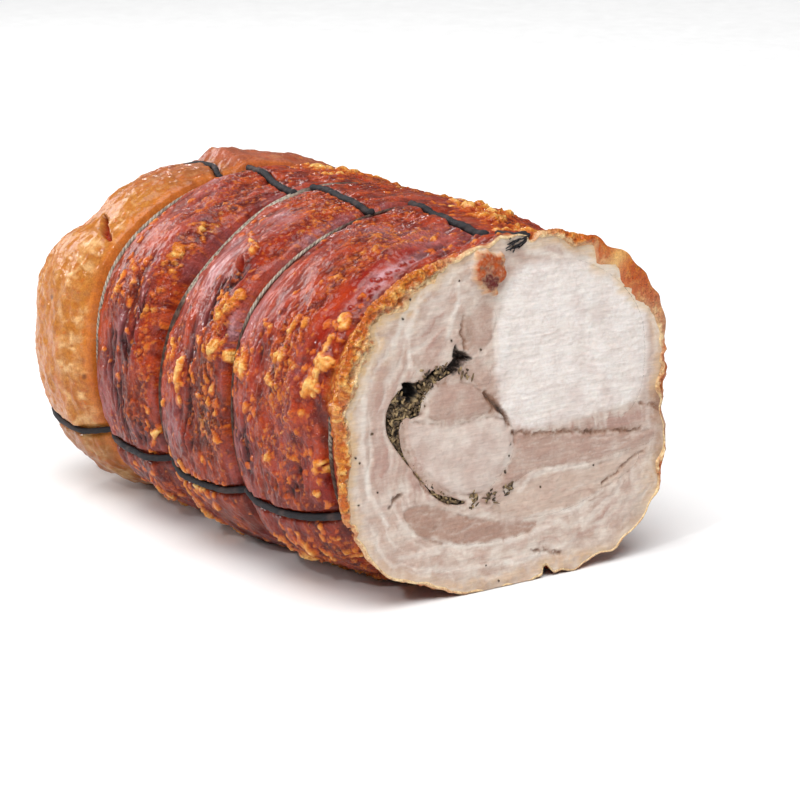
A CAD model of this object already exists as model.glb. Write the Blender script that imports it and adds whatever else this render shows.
"""The looks of half a porchetta: crackled rind, cut meat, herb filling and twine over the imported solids.

Lengths here are millimetres until a mesh is made. Stations are distances behind the cut face. Angles go
anticlockwise from +X, seen from the front. On the cut face, points are (right of the roll's axis, above it).
"""

import bpy
import numpy as np
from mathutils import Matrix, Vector, kdtree, noise
from mathutils.geometry import delaunay_2d_cdt


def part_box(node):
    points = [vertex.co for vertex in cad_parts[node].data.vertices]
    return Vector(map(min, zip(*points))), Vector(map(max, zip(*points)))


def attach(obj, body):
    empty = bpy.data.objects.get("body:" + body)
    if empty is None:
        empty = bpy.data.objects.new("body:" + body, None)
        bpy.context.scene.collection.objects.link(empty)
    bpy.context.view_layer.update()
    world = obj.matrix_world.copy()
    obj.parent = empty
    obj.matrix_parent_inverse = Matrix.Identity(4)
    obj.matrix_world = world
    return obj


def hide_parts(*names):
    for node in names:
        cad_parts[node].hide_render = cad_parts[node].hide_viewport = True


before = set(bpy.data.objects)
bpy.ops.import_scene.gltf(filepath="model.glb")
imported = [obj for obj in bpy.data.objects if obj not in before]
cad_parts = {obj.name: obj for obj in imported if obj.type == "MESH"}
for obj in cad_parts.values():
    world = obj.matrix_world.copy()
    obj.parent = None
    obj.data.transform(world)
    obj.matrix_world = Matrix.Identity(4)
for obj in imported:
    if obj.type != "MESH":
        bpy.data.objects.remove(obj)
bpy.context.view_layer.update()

MM = 0.001
BODY = "root"

# Where the roll lies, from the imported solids
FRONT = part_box("rolled_belly")[0].y / MM
HOOPS = [sum(corner.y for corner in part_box(f"hoop_{n}")) / 2 / MM - FRONT for n in (1, 2, 3, 4)]
AXIS_X = 2
AXIS_HEIGHT = 84
LENGTH = 300

# The form of the roll, as the solids have it
HALF_HEIGHT = 85.5
LEFT_REACH, RIGHT_REACH = 101.5, 93.5
CUT_POWER_TOP, CUT_POWER_BOTTOM = 2.45, 2.8
TIED_POWER_TOP, TIED_POWER_BOTTOM = 2.1, 2.5
HOOP_WAISTS = [0.93, 1.01, 1.01, 1]
BULGES = [7.5, 7.5, 7, 7]
BULGE_RUN = 14
FLAT_TOP = 0.85
TAUT_ANGLE, TAUT_SPREAD = 147, 24
COVER_START, COVER_END, COVER_HEIGHT = 64, 180, 2.9
DIP_DEPTH, DIP_BEFORE, DIP_BEHIND, DIP_SPREAD = 9, 45, 13, 28
SWELLS = [
    (-37, 5, 15), (152, 3, 13), (32, 2, 16), (-3, -3, 9), (70, -1.5, 14), (-128, -3.5, 14),
]
LAP_ANGLE, LAP_SPREAD, FLAP_END = 99, 60, 263
LAP_STATIONS = [0, 60, 110, 215, 245]
LAP_HEIGHTS = [3, 2.5, 0.8, 1.2, 7]
FOLD_ANGLE, FOLD_DEPTH, FOLD_SPREAD, GOLDEN_SWELL = 143, 6, 7, 4
SHOULDER_START, SHOULDER_POWER, LIP_SHARE = 242, 2.6, 0.60
RELIEF_END = FLAP_END + 3
END_SWELLS = [(132, -18, 20), (-170, 5, 35), (75, -6, 22)]
RIM_RAGGEDNESS = 3
RIND_THICKNESS = 4
MEAT_EDGE_STATION, MEAT_DOME = 288, 5
TWINE_RADIUS = 1.6
STRING_SINK = 0.7
SIDE_STRINGS = {"left": -156, "bottom": -76, "right": 10}
TOP_SPANS = [(84, 90), (94, 89), (104, 97), (104, 96), (107, 103)]
CORE_STATIONS = [0, 16, 240, 283]
CORE_SCALES = [1, 0.92, 0.92, 0.56]
PROUD = {"tenderloin": 0.8, "tenderloin_cap": 0.6, "loin": 0.3, "herb_filling": -1.6}
OUTLINES = {
    "loin": [
        (29, 72), (48, 66), (64, 55), (75, 40), (78.5, 23), (77, 4), (69, -8), (52, -10.5),
        (26, -10.5), (9, -6), (-5, 6), (-12, 20), (-12, 43), (-4, 60), (10, 69.5),
    ],
    "tenderloin": [
        (-14, 1), (-5.5, -2), (-0.8, -8), (-1.3, -18), (-8, -27.5), (-18, -34.5), (-30, -34.2),
        (-43, -28.5), (-54, -17), (-61.5, -5), (-61.5, 5), (-50, 3.3), (-36, 0.5), (-24, 0.7),
    ],
    "tenderloin_cap": [
        (-50.5, 7), (-50, 13), (-47.5, 18.5), (-42, 21.5), (-33, 21), (-24, 17.3), (-16, 11), (-13, 5.5),
        (-17, 3.6), (-25, 2.4), (-36, 2.6), (-44, 4),
    ],
    "herb_filling": [
        (-36, 26.5), (-45, 27), (-54, 24.5), (-66, 22), (-73, 13.5), (-73.5, 3), (-68.5, -6), (-58, -19),
        (-47, -31.5), (-37, -37.7), (-29, -38.4), (-36, -35.2), (-45.5, -28.7), (-56, -17), (-63, -5.5),
        (-63.3, 6), (-53, 9.5), (-51.8, 18), (-44, 23.6),
    ],
    "side_muscle": [(-20, 57), (-12.5, 51), (-14, 40), (-20, 35), (-27, 40), (-28, 51)],
    "small_muscle": [(-24, 31), (-17, 27), (-14.8, 20.5), (-18.5, 17), (-26, 21.5), (-30, 26)],
    "belly_lean_inner": [
        (3, -13), (25, -13), (52, -13), (70, -14.5), (84, -21), (83, -26), (66, -28), (39, -30.5), (18, -28),
        (8, -29.5), (-4, -35), (-14, -40.4), (-20, -39.5), (-17, -36.3), (-6.5, -29.5), (1, -19),
    ],
    "belly_lean_outer": [
        (-13, -43.5), (-3, -37.5), (8, -32), (18, -30.4), (39, -33), (58, -31.8), (75, -29.5), (73, -37),
        (54, -45), (36, -50.5), (19, -52.5), (0, -50),
    ],
    "belly_lean_lower": [
        (-64, -38.5), (-53, -36), (-40, -41), (-25, -47), (-7, -52), (12, -55), (6, -59.5), (-12, -60.5),
        (-36, -57.5), (-53, -51.5),
    ],
}
# Gaps that opened beside the filling, and how deep they are
GAPS = [
    [(-35.2, 39.2), (-33.6, 35.9), (-30.6, 35.2), (-25.6, 31), (-30.4, 29.8), (-32.4, 27), (-36, 24.4),
     (-38, 26.6), (-42, 27.6), (-38.2, 30.2), (-35.8, 32.4), (-37, 35)],
    [(-65, 24.5), (-61, 25.2), (-57.5, 22.8), (-56.6, 17), (-60, 15), (-63.5, 18)],
    [(-53, 25.5), (-47, 28.5), (-42.5, 28.6), (-41.5, 26.8), (-47, 26.2), (-51.5, 23.6)],
]
GAP_DEPTH = 6.5

# How fine the meshes are
FINE_STEP, MIDDLE_STEP, COARSE_STEP = 0.56, 0.9, 1.7
ROW_STEP = 0.57
FACE_STEP = 0.85
BACK_STEP = 1.6
MM_PER_DEGREE = 1.71
# The rind's columns start and end underneath. The photo shows the rind on both sides of SHOWN_ANGLE
FIRST_ANGLE, SHOWN_ANGLE = -125, 145


# ---------------------------------------------------------------- numbers


def wrapped(degrees):
    """An angle difference brought to within half a turn."""
    return (np.asarray(degrees) + 180) % 360 - 180


def way_round(degrees):
    """Millimetres round the roll from where its columns start."""
    return (degrees - FIRST_ANGLE) % 360 * MM_PER_DEGREE


def bell(degrees, centre, spread):
    return np.exp(-((wrapped(degrees - centre) / spread) ** 2))


def ramp(value, start, end):
    """0 before start, 1 after end, straight between."""
    return np.clip((value - start) / (end - start), 0, 1)


def eased(value, start, end):
    """0 before start, 1 after end, smooth between."""
    share = ramp(value, start, end)
    return share * share * (3 - 2 * share)


def faded(value, start, end):
    """1 before start, 0 after end, smooth between."""
    return 1 - eased(value, start, end)


def unit(value):
    return np.clip(value, 0, 1)


def mix(a, b, share):
    """a where the share is 0, b where it is 1."""
    return a + (b - a) * share


def hashed(seed, x, y):
    """A number from 0 to 1 for each whole-numbered cell (x, y)."""
    total = np.full(np.shape(x), (seed * 2654435761 + 97) & 0xFFFFFFFF, np.uint32)
    for cell in (x, y):
        total = (total ^ np.asarray(cell).astype(np.int64).astype(np.uint32)) * np.uint32(0x85EBCA6B)
        total = (total ^ (total >> np.uint32(13))) * np.uint32(0xC2B2AE35)
        total ^= total >> np.uint32(16)
    return total / 2.0**32


def soft_noise(x, y, seed):
    """Smooth noise from -1 to 1 that turns over a distance of about 1."""
    left, low = np.floor(x), np.floor(y)
    across, up = eased(x - left, 0, 1), eased(y - low, 0, 1)
    bottom = mix(hashed(seed, left, low), hashed(seed, left + 1, low), across)
    top = mix(hashed(seed, left, low + 1), hashed(seed, left + 1, low + 1), across)
    return 2 * mix(bottom, top, up) - 1


def rough_noise(x, y, seed, octaves=3):
    """Several soft noises, each twice as fine as the last and turned against it."""
    total = 0
    for k in range(octaves):
        c, s, finer = np.cos(0.4 + 0.8 * k), np.sin(0.4 + 0.8 * k), 2.03**k
        total = total + soft_noise((x * c - y * s) * finer, (x * s + y * c) * finer, seed + 31 * k) / 1.8**k
    return total / 1.6


def cells(x, y, seed):
    """For scattered centres, one to a cell of size 1: distance to the nearest, and that one's own number."""
    left, low = np.floor(x), np.floor(y)
    nearest, own = np.full(np.shape(x), 9), np.zeros(np.shape(x))
    for i in (-1, 0, 1):
        for j in (-1, 0, 1):
            a, b = left + i, low + j
            off_x = x - a - 0.1 - 0.8 * hashed(seed, a, b)
            off_y = y - b - 0.1 - 0.8 * hashed(seed + 1, a, b)
            away = np.hypot(off_x, off_y)
            closer = away < nearest
            nearest = np.where(closer, away, nearest)
            own = np.where(closer, hashed(seed + 2, a, b), own)
    return nearest, own


def dome(distance, radius):
    """A round bump, 1 high at its centre."""
    return np.sqrt(unit(1 - (distance / radius) ** 2))


def beads(across, along, width, length, seed, chance):
    """Scattered round lumps, at most one to a cell: their height up to 1, and the ring close round each."""
    away, own = cells(across / width, along / length, seed)
    there = own < chance
    size = 0.36 + 0.3 * ((own * 57.3) % 1)
    height = dome(away, size) * (0.4 + size) * there
    ring = faded(away, size, size + 0.28) * (away > size) * there
    return height, ring


# ---------------------------------------------------------------- the roll's form


def tightness(station):
    """How near a hoop's pull is, from 0 to 1."""
    nearest = np.min([np.abs(station - hoop) for hoop in HOOPS], axis=0)
    return unit(1 - nearest / 16)


def section_radius(degrees, station):
    """The roll's section at a station, rounder where the hoops pull it in."""
    across, up = np.cos(np.radians(degrees)), np.sin(np.radians(degrees))
    reach = RIGHT_REACH + (LEFT_REACH - RIGHT_REACH) * (1 - across) / 2
    pull = (0.4 + 0.6 * tightness(station)) * ramp(station, 0, 1.8)
    top = CUT_POWER_TOP + (TIED_POWER_TOP - CUT_POWER_TOP) * pull
    bottom = CUT_POWER_BOTTOM + (TIED_POWER_BOTTOM - CUT_POWER_BOTTOM) * pull
    power = bottom + (top - bottom) * (1 + up) / 2
    radius = (np.abs(across / reach) ** power + np.abs(up / HALF_HEIGHT) ** power) ** (-1 / power)
    for centre, height, spread in SWELLS:
        radius = radius + height * (1 - 0.6 * pull) * bell(degrees, centre, spread)
    return radius


def bulge(degrees, station):
    """The swelling between the hoops and behind the last."""
    out = np.zeros(np.broadcast(degrees, station).shape)
    taut = bell(degrees, TAUT_ANGLE, TAUT_SPREAD)
    for start, end, height in zip(HOOPS, HOOPS[1:], BULGES):
        share = ramp(station, start, end)
        full = (4 * share * (1 - share)) ** 0.55
        drawn = 2.24 * share**0.5 * (1 - share) ** 1.2
        out = out + height * (full * (1 - taut) + drawn * taut)
    out = out + BULGES[-1] * ramp(station, HOOPS[-1], HOOPS[-1] + BULGE_RUN) ** 0.55
    return out * (1 - FLAT_TOP * bell(degrees, 78, 42))


def dip(degrees, station):
    """How far the taut skin sinks towards the third hoop."""
    share = np.interp(station, [HOOPS[2] - DIP_BEFORE, HOOPS[2], HOOPS[2] + DIP_BEHIND], [0, 1, 0])
    return DIP_DEPTH * share * bell(degrees, TAUT_ANGLE, DIP_SPREAD)


def lap(degrees, station):
    """The flap of rind along the top, with its edge at LAP_ANGLE."""
    past = wrapped(LAP_ANGLE - degrees)
    height = np.interp(station, LAP_STATIONS, LAP_HEIGHTS) * (1 - ramp(station, FLAP_END, RELIEF_END))
    return height * np.where(past > -2, ramp(past, -2, 3) * (1 - ramp(past, 3, LAP_SPREAD)), 0)


def back_relief(degrees, station):
    """The fold and the golden swelling at the back left."""
    behind = ramp(station, HOOPS[-1] + 3, SHOULDER_START)
    fold = -FOLD_DEPTH * bell(degrees, FOLD_ANGLE, FOLD_SPREAD)
    return behind * (fold + GOLDEN_SWELL * bell(degrees, -170, 52))


def sampled(rule, degrees, station):
    """A noise rule's values at every angle and station."""
    degrees, station = np.broadcast_arrays(degrees, station)
    values = [rule(a, s) for a, s in zip(np.radians(degrees).ravel(), station.ravel())]
    return np.array(values).reshape(degrees.shape)


def lump(angle, station):
    """The broad unevenness of the roll. The angle is in radians."""
    place = Vector((np.cos(angle) * 2.6, np.sin(angle) * 2.6, station / 34))
    return noise.noise(place) * 2.4 + noise.noise(place * 2.3) * 1.2


def tear(angle, station):
    """The raggedness of the rim at the cut. The angle is in radians."""
    return RIM_RAGGEDNESS * noise.noise(Vector((np.cos(angle) * 9, np.sin(angle) * 9, station / 4)))


def skin_radius(degrees, station):
    """The rind's radius before the twine presses it in."""
    plain = section_radius(degrees, station) * np.interp(station, [0, *HOOPS], [1, *HOOP_WAISTS])
    relief = bulge(degrees, station) - dip(degrees, station) + lap(degrees, station)
    relief = relief + back_relief(degrees, station)
    return plain + relief + sampled(lump, degrees, station) * (1 - 0.7 * tightness(station))


def off_the_floor(degrees, radius, thickness=TWINE_RADIUS + 1):
    """The radius, kept so far above the floor that a string of this thickness fits under it."""
    down = np.maximum(-np.sin(np.radians(degrees)), 1e-6)
    return np.minimum(radius, (AXIS_HEIGHT - thickness) / down)


def hoop_radius(degrees, number):
    """Radius of a hoop's middle line."""
    station = HOOPS[number]
    radius = section_radius(degrees, station) * HOOP_WAISTS[number] + 0.2 * lap(degrees, station)
    return off_the_floor(degrees, radius - dip(degrees, station))


def top_string_angle(station):
    """The angle of the top string, which leans from hoop to hoop."""
    bounds = np.array([0, *HOOPS, SHOULDER_START])
    number = np.clip(np.searchsorted(bounds, station, side="right") - 1, 0, len(TOP_SPANS) - 1)
    front, back = np.array(TOP_SPANS).T
    share = eased(station, bounds[number], bounds[number + 1])
    return mix(front[number], back[number], share)


def string_angle(side, station):
    return top_string_angle(station) if side == "top" else SIDE_STRINGS[side] + 0 * np.asarray(station)


def hoop_cover(degrees):
    """How far the puffed edge of the rind hides the first hoop, from 0 to 1."""
    return eased(wrapped(degrees - COVER_START), 0, 9) * faded(wrapped(degrees - COVER_END), -9, 0)


def grooved_radius(degrees, station):
    """The rind's radius with the twine's grooves pressed in, and how clear of twine each point is."""
    radius = skin_radius(degrees, station)
    radius = radius + COVER_HEIGHT * hoop_cover(degrees) * np.exp(-(((station - HOOPS[0]) / 4.5) ** 2))
    clear = np.ones(radius.shape)
    for side in (*SIDE_STRINGS, "top"):
        aside = np.abs(wrapped(degrees - string_angle(side, station))) * MM_PER_DEGREE
        pressed = faded(aside, 1.6, 4.2)
        bed = off_the_floor(degrees, radius - STRING_SINK) - TWINE_RADIUS - 0.3
        radius = mix(radius, np.minimum(bed, radius), pressed)
        clear = clear * (1 - pressed)
    for number, hoop in enumerate(HOOPS):
        pressed = faded(np.abs(station - hoop), 1.2, 3.9) * (1 - hoop_cover(degrees) * (number == 0))
        radius = mix(radius, hoop_radius(degrees, number) - TWINE_RADIUS - 0.2, pressed)
        clear = clear * (1 - pressed)
    return radius, clear


def end_reach(degrees):
    """How much further back the end reaches at an angle."""
    return sum(far * bell(degrees, centre, spread) for centre, far, spread in END_SWELLS)


def in_frame(across, up, station):
    """Metres in the frame from millimetres right of the axis, above it and behind the cut. The floor is 0."""
    height = np.maximum(AXIS_HEIGHT + up, 0)
    across, height, station = np.broadcast_arrays(AXIS_X + across, height, FRONT + station)
    return np.stack([across, station, height], axis=-1) * MM


def around(degrees, radius, station):
    angle = np.radians(degrees)
    return in_frame(radius * np.cos(angle), radius * np.sin(angle), station)


# ---------------------------------------------------------------- meshes


def band_faces(rows, columns, closed_rows=False, closed_columns=True):
    """Four-sided faces of a grid of points, row after row."""
    row = np.arange(rows if closed_rows else rows - 1)[:, None]
    column = np.arange(columns if closed_columns else columns - 1)[None, :]
    ahead, beside = (row + 1) % rows * columns, (column + 1) % columns
    corners = [row * columns + column, ahead + column, ahead + beside, row * columns + beside]
    return np.stack(np.broadcast_arrays(*corners), axis=-1).reshape(-1, 4)


def triangles(faces):
    """Each four-sided face as two triangles."""
    return np.concatenate([faces[:, [0, 1, 2]], faces[:, [0, 2, 3]]])


def walls(starts, count, inward=False):
    """Triangles from ring to ring of count points each. starts are the numbers of the rings' first points."""
    i = np.arange(count)
    j = (i + 1) % count
    made = []
    for near, far in zip(starts, starts[1:]):
        corners = [near + i, near + j, far + j, far + i] if inward else [near + i, far + i, far + j, near + j]
        made.append(triangles(np.stack(corners, axis=1)))
    return np.concatenate(made)


def joined(parts):
    """One set of points and faces from several (points, faces) sets."""
    points = np.concatenate([part[0] for part in parts])
    starts = np.cumsum([0] + [len(part[0]) for part in parts[:-1]])
    return points, np.concatenate([part[1] + start for part, start in zip(parts, starts)])


def make_piece(name, points, faces, look, nodes, fields=None):
    """A smooth mesh that rides on the roll and replaces these CAD nodes, with its fields by point."""
    mesh = bpy.data.meshes.new(name)
    mesh.vertices.add(len(points))
    mesh.vertices.foreach_set("co", np.asarray(points, np.float32).ravel())
    mesh.loops.add(faces.size)
    mesh.loops.foreach_set("vertex_index", faces.astype(np.int32).ravel())
    mesh.polygons.add(len(faces))
    mesh.polygons.foreach_set("loop_start", np.arange(0, faces.size, faces.shape[1], dtype=np.int32))
    mesh.update(calc_edges=True)
    mesh.polygons.foreach_set("use_smooth", np.ones(len(faces), bool))
    for field, values in (fields or {}).items():
        values = np.asarray(values, np.float32)
        kind = "FLOAT_VECTOR" if values.ndim == 2 else "FLOAT"
        attribute = mesh.attributes.new(field, kind, "POINT")
        attribute.data.foreach_set("vector" if values.ndim == 2 else "value", values.ravel())
    mesh.materials.append(look)
    made = bpy.data.objects.new(name, mesh)
    bpy.context.scene.collection.objects.link(made)
    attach(made, BODY)
    if nodes:
        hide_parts(*nodes)
    return made


def smooth_loop(corners, step):
    """A closed curve through the corners with a point about every step."""
    corners = np.array(corners, float)
    before, after, later = (np.roll(corners, -k, axis=0) for k in (-1, 1, 2))
    dense = []
    for t in np.arange(16) / 16:
        straight = 2 * corners + (after - before) * t
        bent = (2 * before - 5 * corners + 4 * after - later) * t**2
        dense.append(0.5 * (straight + bent + (3 * corners - before - 3 * after + later) * t**3))
    dense = np.stack(dense, axis=1).reshape(-1, 2)
    closed = np.vstack([dense, dense[:1]])
    length = np.concatenate([[0], np.cumsum(np.linalg.norm(np.diff(closed, axis=0), axis=1))])
    places = np.linspace(0, length[-1], max(12, int(length[-1] / step)) + 1)[:-1]
    loop = np.stack([np.interp(places, length, closed[:, k]) for k in (0, 1)], axis=1)
    ahead = np.roll(loop, -1, axis=0)
    area = np.sum(loop[:, 0] * ahead[:, 1] - ahead[:, 0] * loop[:, 1])
    return loop if area > 0 else loop[::-1]


def grown(loop, by):
    """An anticlockwise loop moved outwards."""
    along = np.roll(loop, -1, axis=0) - np.roll(loop, 1, axis=0)
    outward = np.stack([along[:, 1], -along[:, 0]], axis=1)
    return loop + by * outward / np.linalg.norm(outward, axis=1, keepdims=True)


def inside(points, loop):
    found = np.zeros(len(points), bool)
    x, y = points.T
    for (x1, y1), (x2, y2) in zip(loop, np.roll(loop, -1, axis=0)):
        if y1 != y2:
            found ^= ((y1 > y) != (y2 > y)) & (x < (x2 - x1) * (y - y1) / (y2 - y1) + x1)
    return found


def distance_to(points, *curves):
    """Distance from each point to the nearest point of the curves, which are dense."""
    dense = np.concatenate(curves)
    tree = kdtree.KDTree(len(dense))
    for index, (x, y) in enumerate(dense):
        tree.insert((x, y, 0), index)
    tree.balance()
    return np.array([tree.find((x, y, 0))[2] for x, y in points])


def polyline(corners, step=0.4):
    """Dense points along straight runs."""
    corners = np.array(corners, float)
    runs = []
    for start, end in zip(corners, corners[1:]):
        runs.append(np.linspace(start, end, max(2, int(np.linalg.norm(end - start) / step))))
    return np.concatenate(runs)


def between_loops(points, outer, holes):
    """Which points lie inside the outer loop and outside the holes."""
    found = inside(points, outer)
    for hole in holes:
        found &= ~inside(points, hole)
    return found


def filled(outer, holes, step, seed):
    """Points and triangles inside the outer loop and outside the holes. The loops' points come first."""
    loops = [outer, *holes]
    low, high = outer.min(0), outer.max(0)
    lines = []
    for number, y in enumerate(np.arange(low[1], high[1], step * 0.87)):
        across = np.arange(low[0] + step * 0.5 * (number % 2), high[0], step)
        lines.append(np.stack([across, np.full_like(across, y)], axis=1))
    loose = np.concatenate(lines)
    loose = loose + np.random.default_rng(seed).uniform(-0.22, 0.22, loose.shape) * step
    loose = loose[between_loops(loose, outer, holes)]
    loose = loose[distance_to(loose, *loops) > 0.55 * step]
    points = np.concatenate([*loops, loose])
    edges, start = [], 0
    for loop in loops:
        edges += [(start + i, start + (i + 1) % len(loop)) for i in range(len(loop))]
        start += len(loop)
    result = delaunay_2d_cdt([Vector(p) for p in points], edges, [], 0, 1e-6)
    origin = [first[0] if first else -1 for first in result[3]]
    faces = np.array([[origin[v] for v in face] for face in result[2] if len(face) == 3])
    faces = faces[(faces >= 0).all(axis=1)]
    faces = faces[between_loops(points[faces].mean(axis=1), outer, holes)]
    a, b, c = (points[faces[:, k]] for k in range(3))
    turn = (b[:, 0] - a[:, 0]) * (c[:, 1] - a[:, 1]) - (b[:, 1] - a[:, 1]) * (c[:, 0] - a[:, 0])
    faces[turn < 0] = faces[turn < 0][:, ::-1]
    return points, faces


# ---------------------------------------------------------------- materials


def screen(red, green, blue):
    """A colour given from 0 to 255 as a screen shows it."""
    values = [c / 255 for c in (red, green, blue)]
    return (*(v / 12.92 if v < 0.04 else ((v + 0.055) / 1.055) ** 2.4 for v in values), 1)


class Look:
    """A Principled material whose colour, roughness and bump come from nodes."""

    def __init__(self, name, **constants):
        self.material = bpy.data.materials.new(name)
        self.material.use_nodes = True
        self.tree = self.material.node_tree
        self.shader = self.tree.nodes["Principled BSDF"]
        for key, value in constants.items():
            self.shader.inputs[key.replace("_", " ")].default_value = value
        self.object_place = self.add("TexCoord", {}).outputs["Object"]

    def add(self, kind, inputs, **settings):
        """A node of this kind. Inputs are keyed by name or number, and are values or other nodes' outputs."""
        made = self.tree.nodes.new("ShaderNode" + kind)
        for key, value in settings.items():
            setattr(made, key, value)
        for key, value in inputs.items():
            if isinstance(value, bpy.types.NodeSocket):
                self.tree.links.new(value, made.inputs[key])
            else:
                made.inputs[key].default_value = value
        return made

    def field(self, name):
        return self.add("Attribute", {}, attribute_name=name).outputs["Fac"]

    def vector_field(self, name):
        return self.add("Attribute", {}, attribute_name=name).outputs["Vector"]

    def scaled(self, place, stretch):
        return self.add("Mapping", {"Vector": place, "Scale": stretch}).outputs["Vector"]

    def speckle(self, size, place=None, stretch=None, detail=4, rough=0.55):
        """Noise from 0 to 1 with features about size millimetres wide, in metres of the frame."""
        place = place or self.object_place
        if stretch:
            place = self.scaled(place, stretch)
        inputs = {"Vector": place, "Scale": 1 / (size * MM), "Detail": detail, "Roughness": rough}
        return self.add("TexNoise", inputs).outputs[0]

    def pores(self, size, place=None):
        inputs = {"Vector": place or self.object_place, "Scale": 1 / (size * MM)}
        return self.add("TexVoronoi", inputs).outputs["Distance"]

    def span(self, value, low, high, to_low=0, to_high=1):
        """The value with low to high stretched to to_low to to_high, and held there."""
        inputs = {0: value, 1: low, 2: high, 3: to_low, 4: to_high}
        return self.add("MapRange", inputs, clamp=True).outputs[0]

    def times(self, a, b):
        return self.add("Math", {0: a, 1: b}, operation="MULTIPLY").outputs[0]

    def blend(self, share, a, b, mode="MIX"):
        """Colour a where the share is 0, and b where it is 1."""
        return self.add("Mix", {0: share, 6: a, 7: b}, data_type="RGBA", blend_type=mode).outputs[2]

    def tinted(self, colour, tints, uneven):
        """The colour with each tint over it where the field of that name says, a little uneven."""
        for name, *shades in tints:
            share = self.times(self.field(name), uneven)
            colour = self.blend(self.span(share, 0, 1), colour, screen(*shades))
        return colour

    def grey(self, shade):
        return self.add("CombineColor", {0: shade, 1: shade, 2: shade}).outputs[0]

    def shaded(self, colour, shade):
        """The colour made darker or lighter by the shade."""
        return self.blend(1, colour, self.grey(shade), "MULTIPLY")

    def bump(self, height, depth, under=None):
        inputs = {"Height": height, "Distance": depth * MM, "Strength": 1}
        if under is not None:
            inputs["Normal"] = under
        return self.add("Bump", inputs).outputs["Normal"]

    def set(self, key, value):
        self.tree.links.new(value, self.shader.inputs[key])


# What the fields tint: name, and colour as a screen shows it
RIND_TINTS = [
    ("umber", 86, 32, 12), ("mauve", 146, 84, 88), ("salmon", 176, 92, 74), ("lilac", 198, 154, 160),
    ("red", 140, 20, 6), ("glow", 180, 60, 18), ("tan", 184, 118, 50), ("buff", 222, 176, 120),
    ("dark", 40, 13, 15), ("orange", 190, 84, 34), ("gold", 214, 130, 46), ("bright", 246, 202, 122),
    ("cream", 244, 216, 168),
]
MEAT_TINTS = [
    ("lean", 170, 136, 120), ("peach", 200, 176, 160), ("white", 240, 234, 230), ("pink", 178, 143, 131),
    ("warm", 220, 186, 142), ("pale", 228, 218, 208), ("brown", 142, 104, 82), ("amber", 166, 68, 6),
    ("rust", 94, 8, 4), ("black", 36, 25, 19),
]


def rind_look():
    """Roasted rind: glossy red-brown skin with golden puffs, taut salmon skin, tan and charred places."""
    look = Look("crackled_rind", IOR=1.5, Specular_IOR_Level=0.04, Coat_Weight=0.37, Coat_Roughness=0.065)
    skin = look.vector_field("skin")
    streaks = look.speckle(4, skin, (0.4, 1, 1), detail=6, rough=0.62)
    clouds = look.speckle(9, skin, (0.7, 1, 1), detail=5)
    mottle = look.speckle(2.6, detail=5, rough=0.65)
    glints = look.speckle(1.7, stretch=(1, 1.1, 0.9), rough=0.7)
    flecks = look.speckle(1.5, stretch=(0.9, 1, 1.2), detail=3, rough=0.7)
    fine = look.speckle(0.9, rough=0.7)
    colour = look.blend(look.span(clouds, 0.42, 0.58), screen(104, 26, 12), screen(164, 56, 24))
    for spots, start, end, most, *shades in (
        (streaks, 0.52, 0.66, 0.8, 182, 82, 46), (streaks, 0.43, 0.3, 0.9, 54, 16, 18),
        (mottle, 0.54, 0.7, 0.7, 148, 84, 82), (glints, 0.62, 0.76, 0.7, 210, 130, 84),
        (flecks, 0.63, 0.74, 0.6, 214, 168, 166),
    ):
        colour = look.blend(look.span(spots, start, end, 0, most), colour, screen(*shades))
    colour = look.tinted(colour, RIND_TINTS, look.span(mottle, 0.32, 0.66, 0.6, 1.25))
    look.set("Base Color", look.shaded(colour, look.span(fine, 0.25, 0.75, 0.7, 1.22)))
    look.set("Roughness", look.span(fine, 0.3, 0.7, 0.26, 0.5))
    under = look.bump(look.times(look.pores(1.3), look.field("crackle")), 1)
    smoother = look.span(look.field("tan"), 0, 1, 1, 0.35)
    under = look.bump(look.times(mottle, smoother), 0.8, under)
    look.set("Normal", look.bump(look.times(fine, smoother), 0.3, under))
    wetness = look.span(look.field("crackle"), 0, 0.6, 0.35, 1)
    look.set("Coat Normal", look.bump(look.times(look.speckle(1.8, detail=2), wetness), 0.5))
    return look.material


def meat_look():
    """Cut roast pork, from white loin to brown lean, by its fields."""
    look = Look("cut_pork", IOR=1.42, Specular_IOR_Level=0.35, Coat_Weight=0.2, Coat_Roughness=0.28,
                Subsurface_Weight=0.1, Subsurface_Radius=(1, 0.5, 0.35), Subsurface_Scale=MM)
    clouds = look.speckle(9, detail=5, rough=0.6)
    grain = look.speckle(1.1, stretch=(0.1, 1, 1), rough=0.6)
    fine = look.speckle(0.7, detail=3, rough=0.7)
    colour = look.blend(look.span(clouds, 0.38, 0.62), screen(190, 164, 150), screen(216, 202, 190))
    colour = look.tinted(colour, MEAT_TINTS, look.span(look.speckle(1.6, rough=0.65), 0.3, 0.7, 0.7, 1.2))
    look.set("Base Color", look.shaded(colour, look.span(grain, 0.3, 0.7, 0.87, 1.08)))
    look.set("Roughness", look.span(fine, 0.3, 0.7, 0.4, 0.62))
    look.set("Normal", look.bump(fine, 0.22, look.bump(grain, 0.3)))
    look.set("Coat Normal", look.bump(fine, 0.3))
    return look.material


def herb_look():
    """Chopped dark herbs with pale bits."""
    look = Look("chopped_herbs", IOR=1.4, Coat_Weight=0.15, Coat_Roughness=0.4)
    fine = look.speckle(1.6, rough=0.7)
    colour = look.blend(look.span(fine, 0.38, 0.62), screen(30, 22, 16), screen(98, 76, 52))
    pale = look.blend(look.speckle(3), screen(190, 166, 124), screen(140, 112, 72))
    colour = look.blend(look.field("pale"), colour, pale)
    colour = look.blend(look.field("black"), colour, screen(16, 12, 10))
    look.set("Base Color", colour)
    look.set("Roughness", look.span(fine, 0.3, 0.7, 0.5, 0.8))
    look.set("Normal", look.bump(fine, 0.5))
    return look.material


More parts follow.
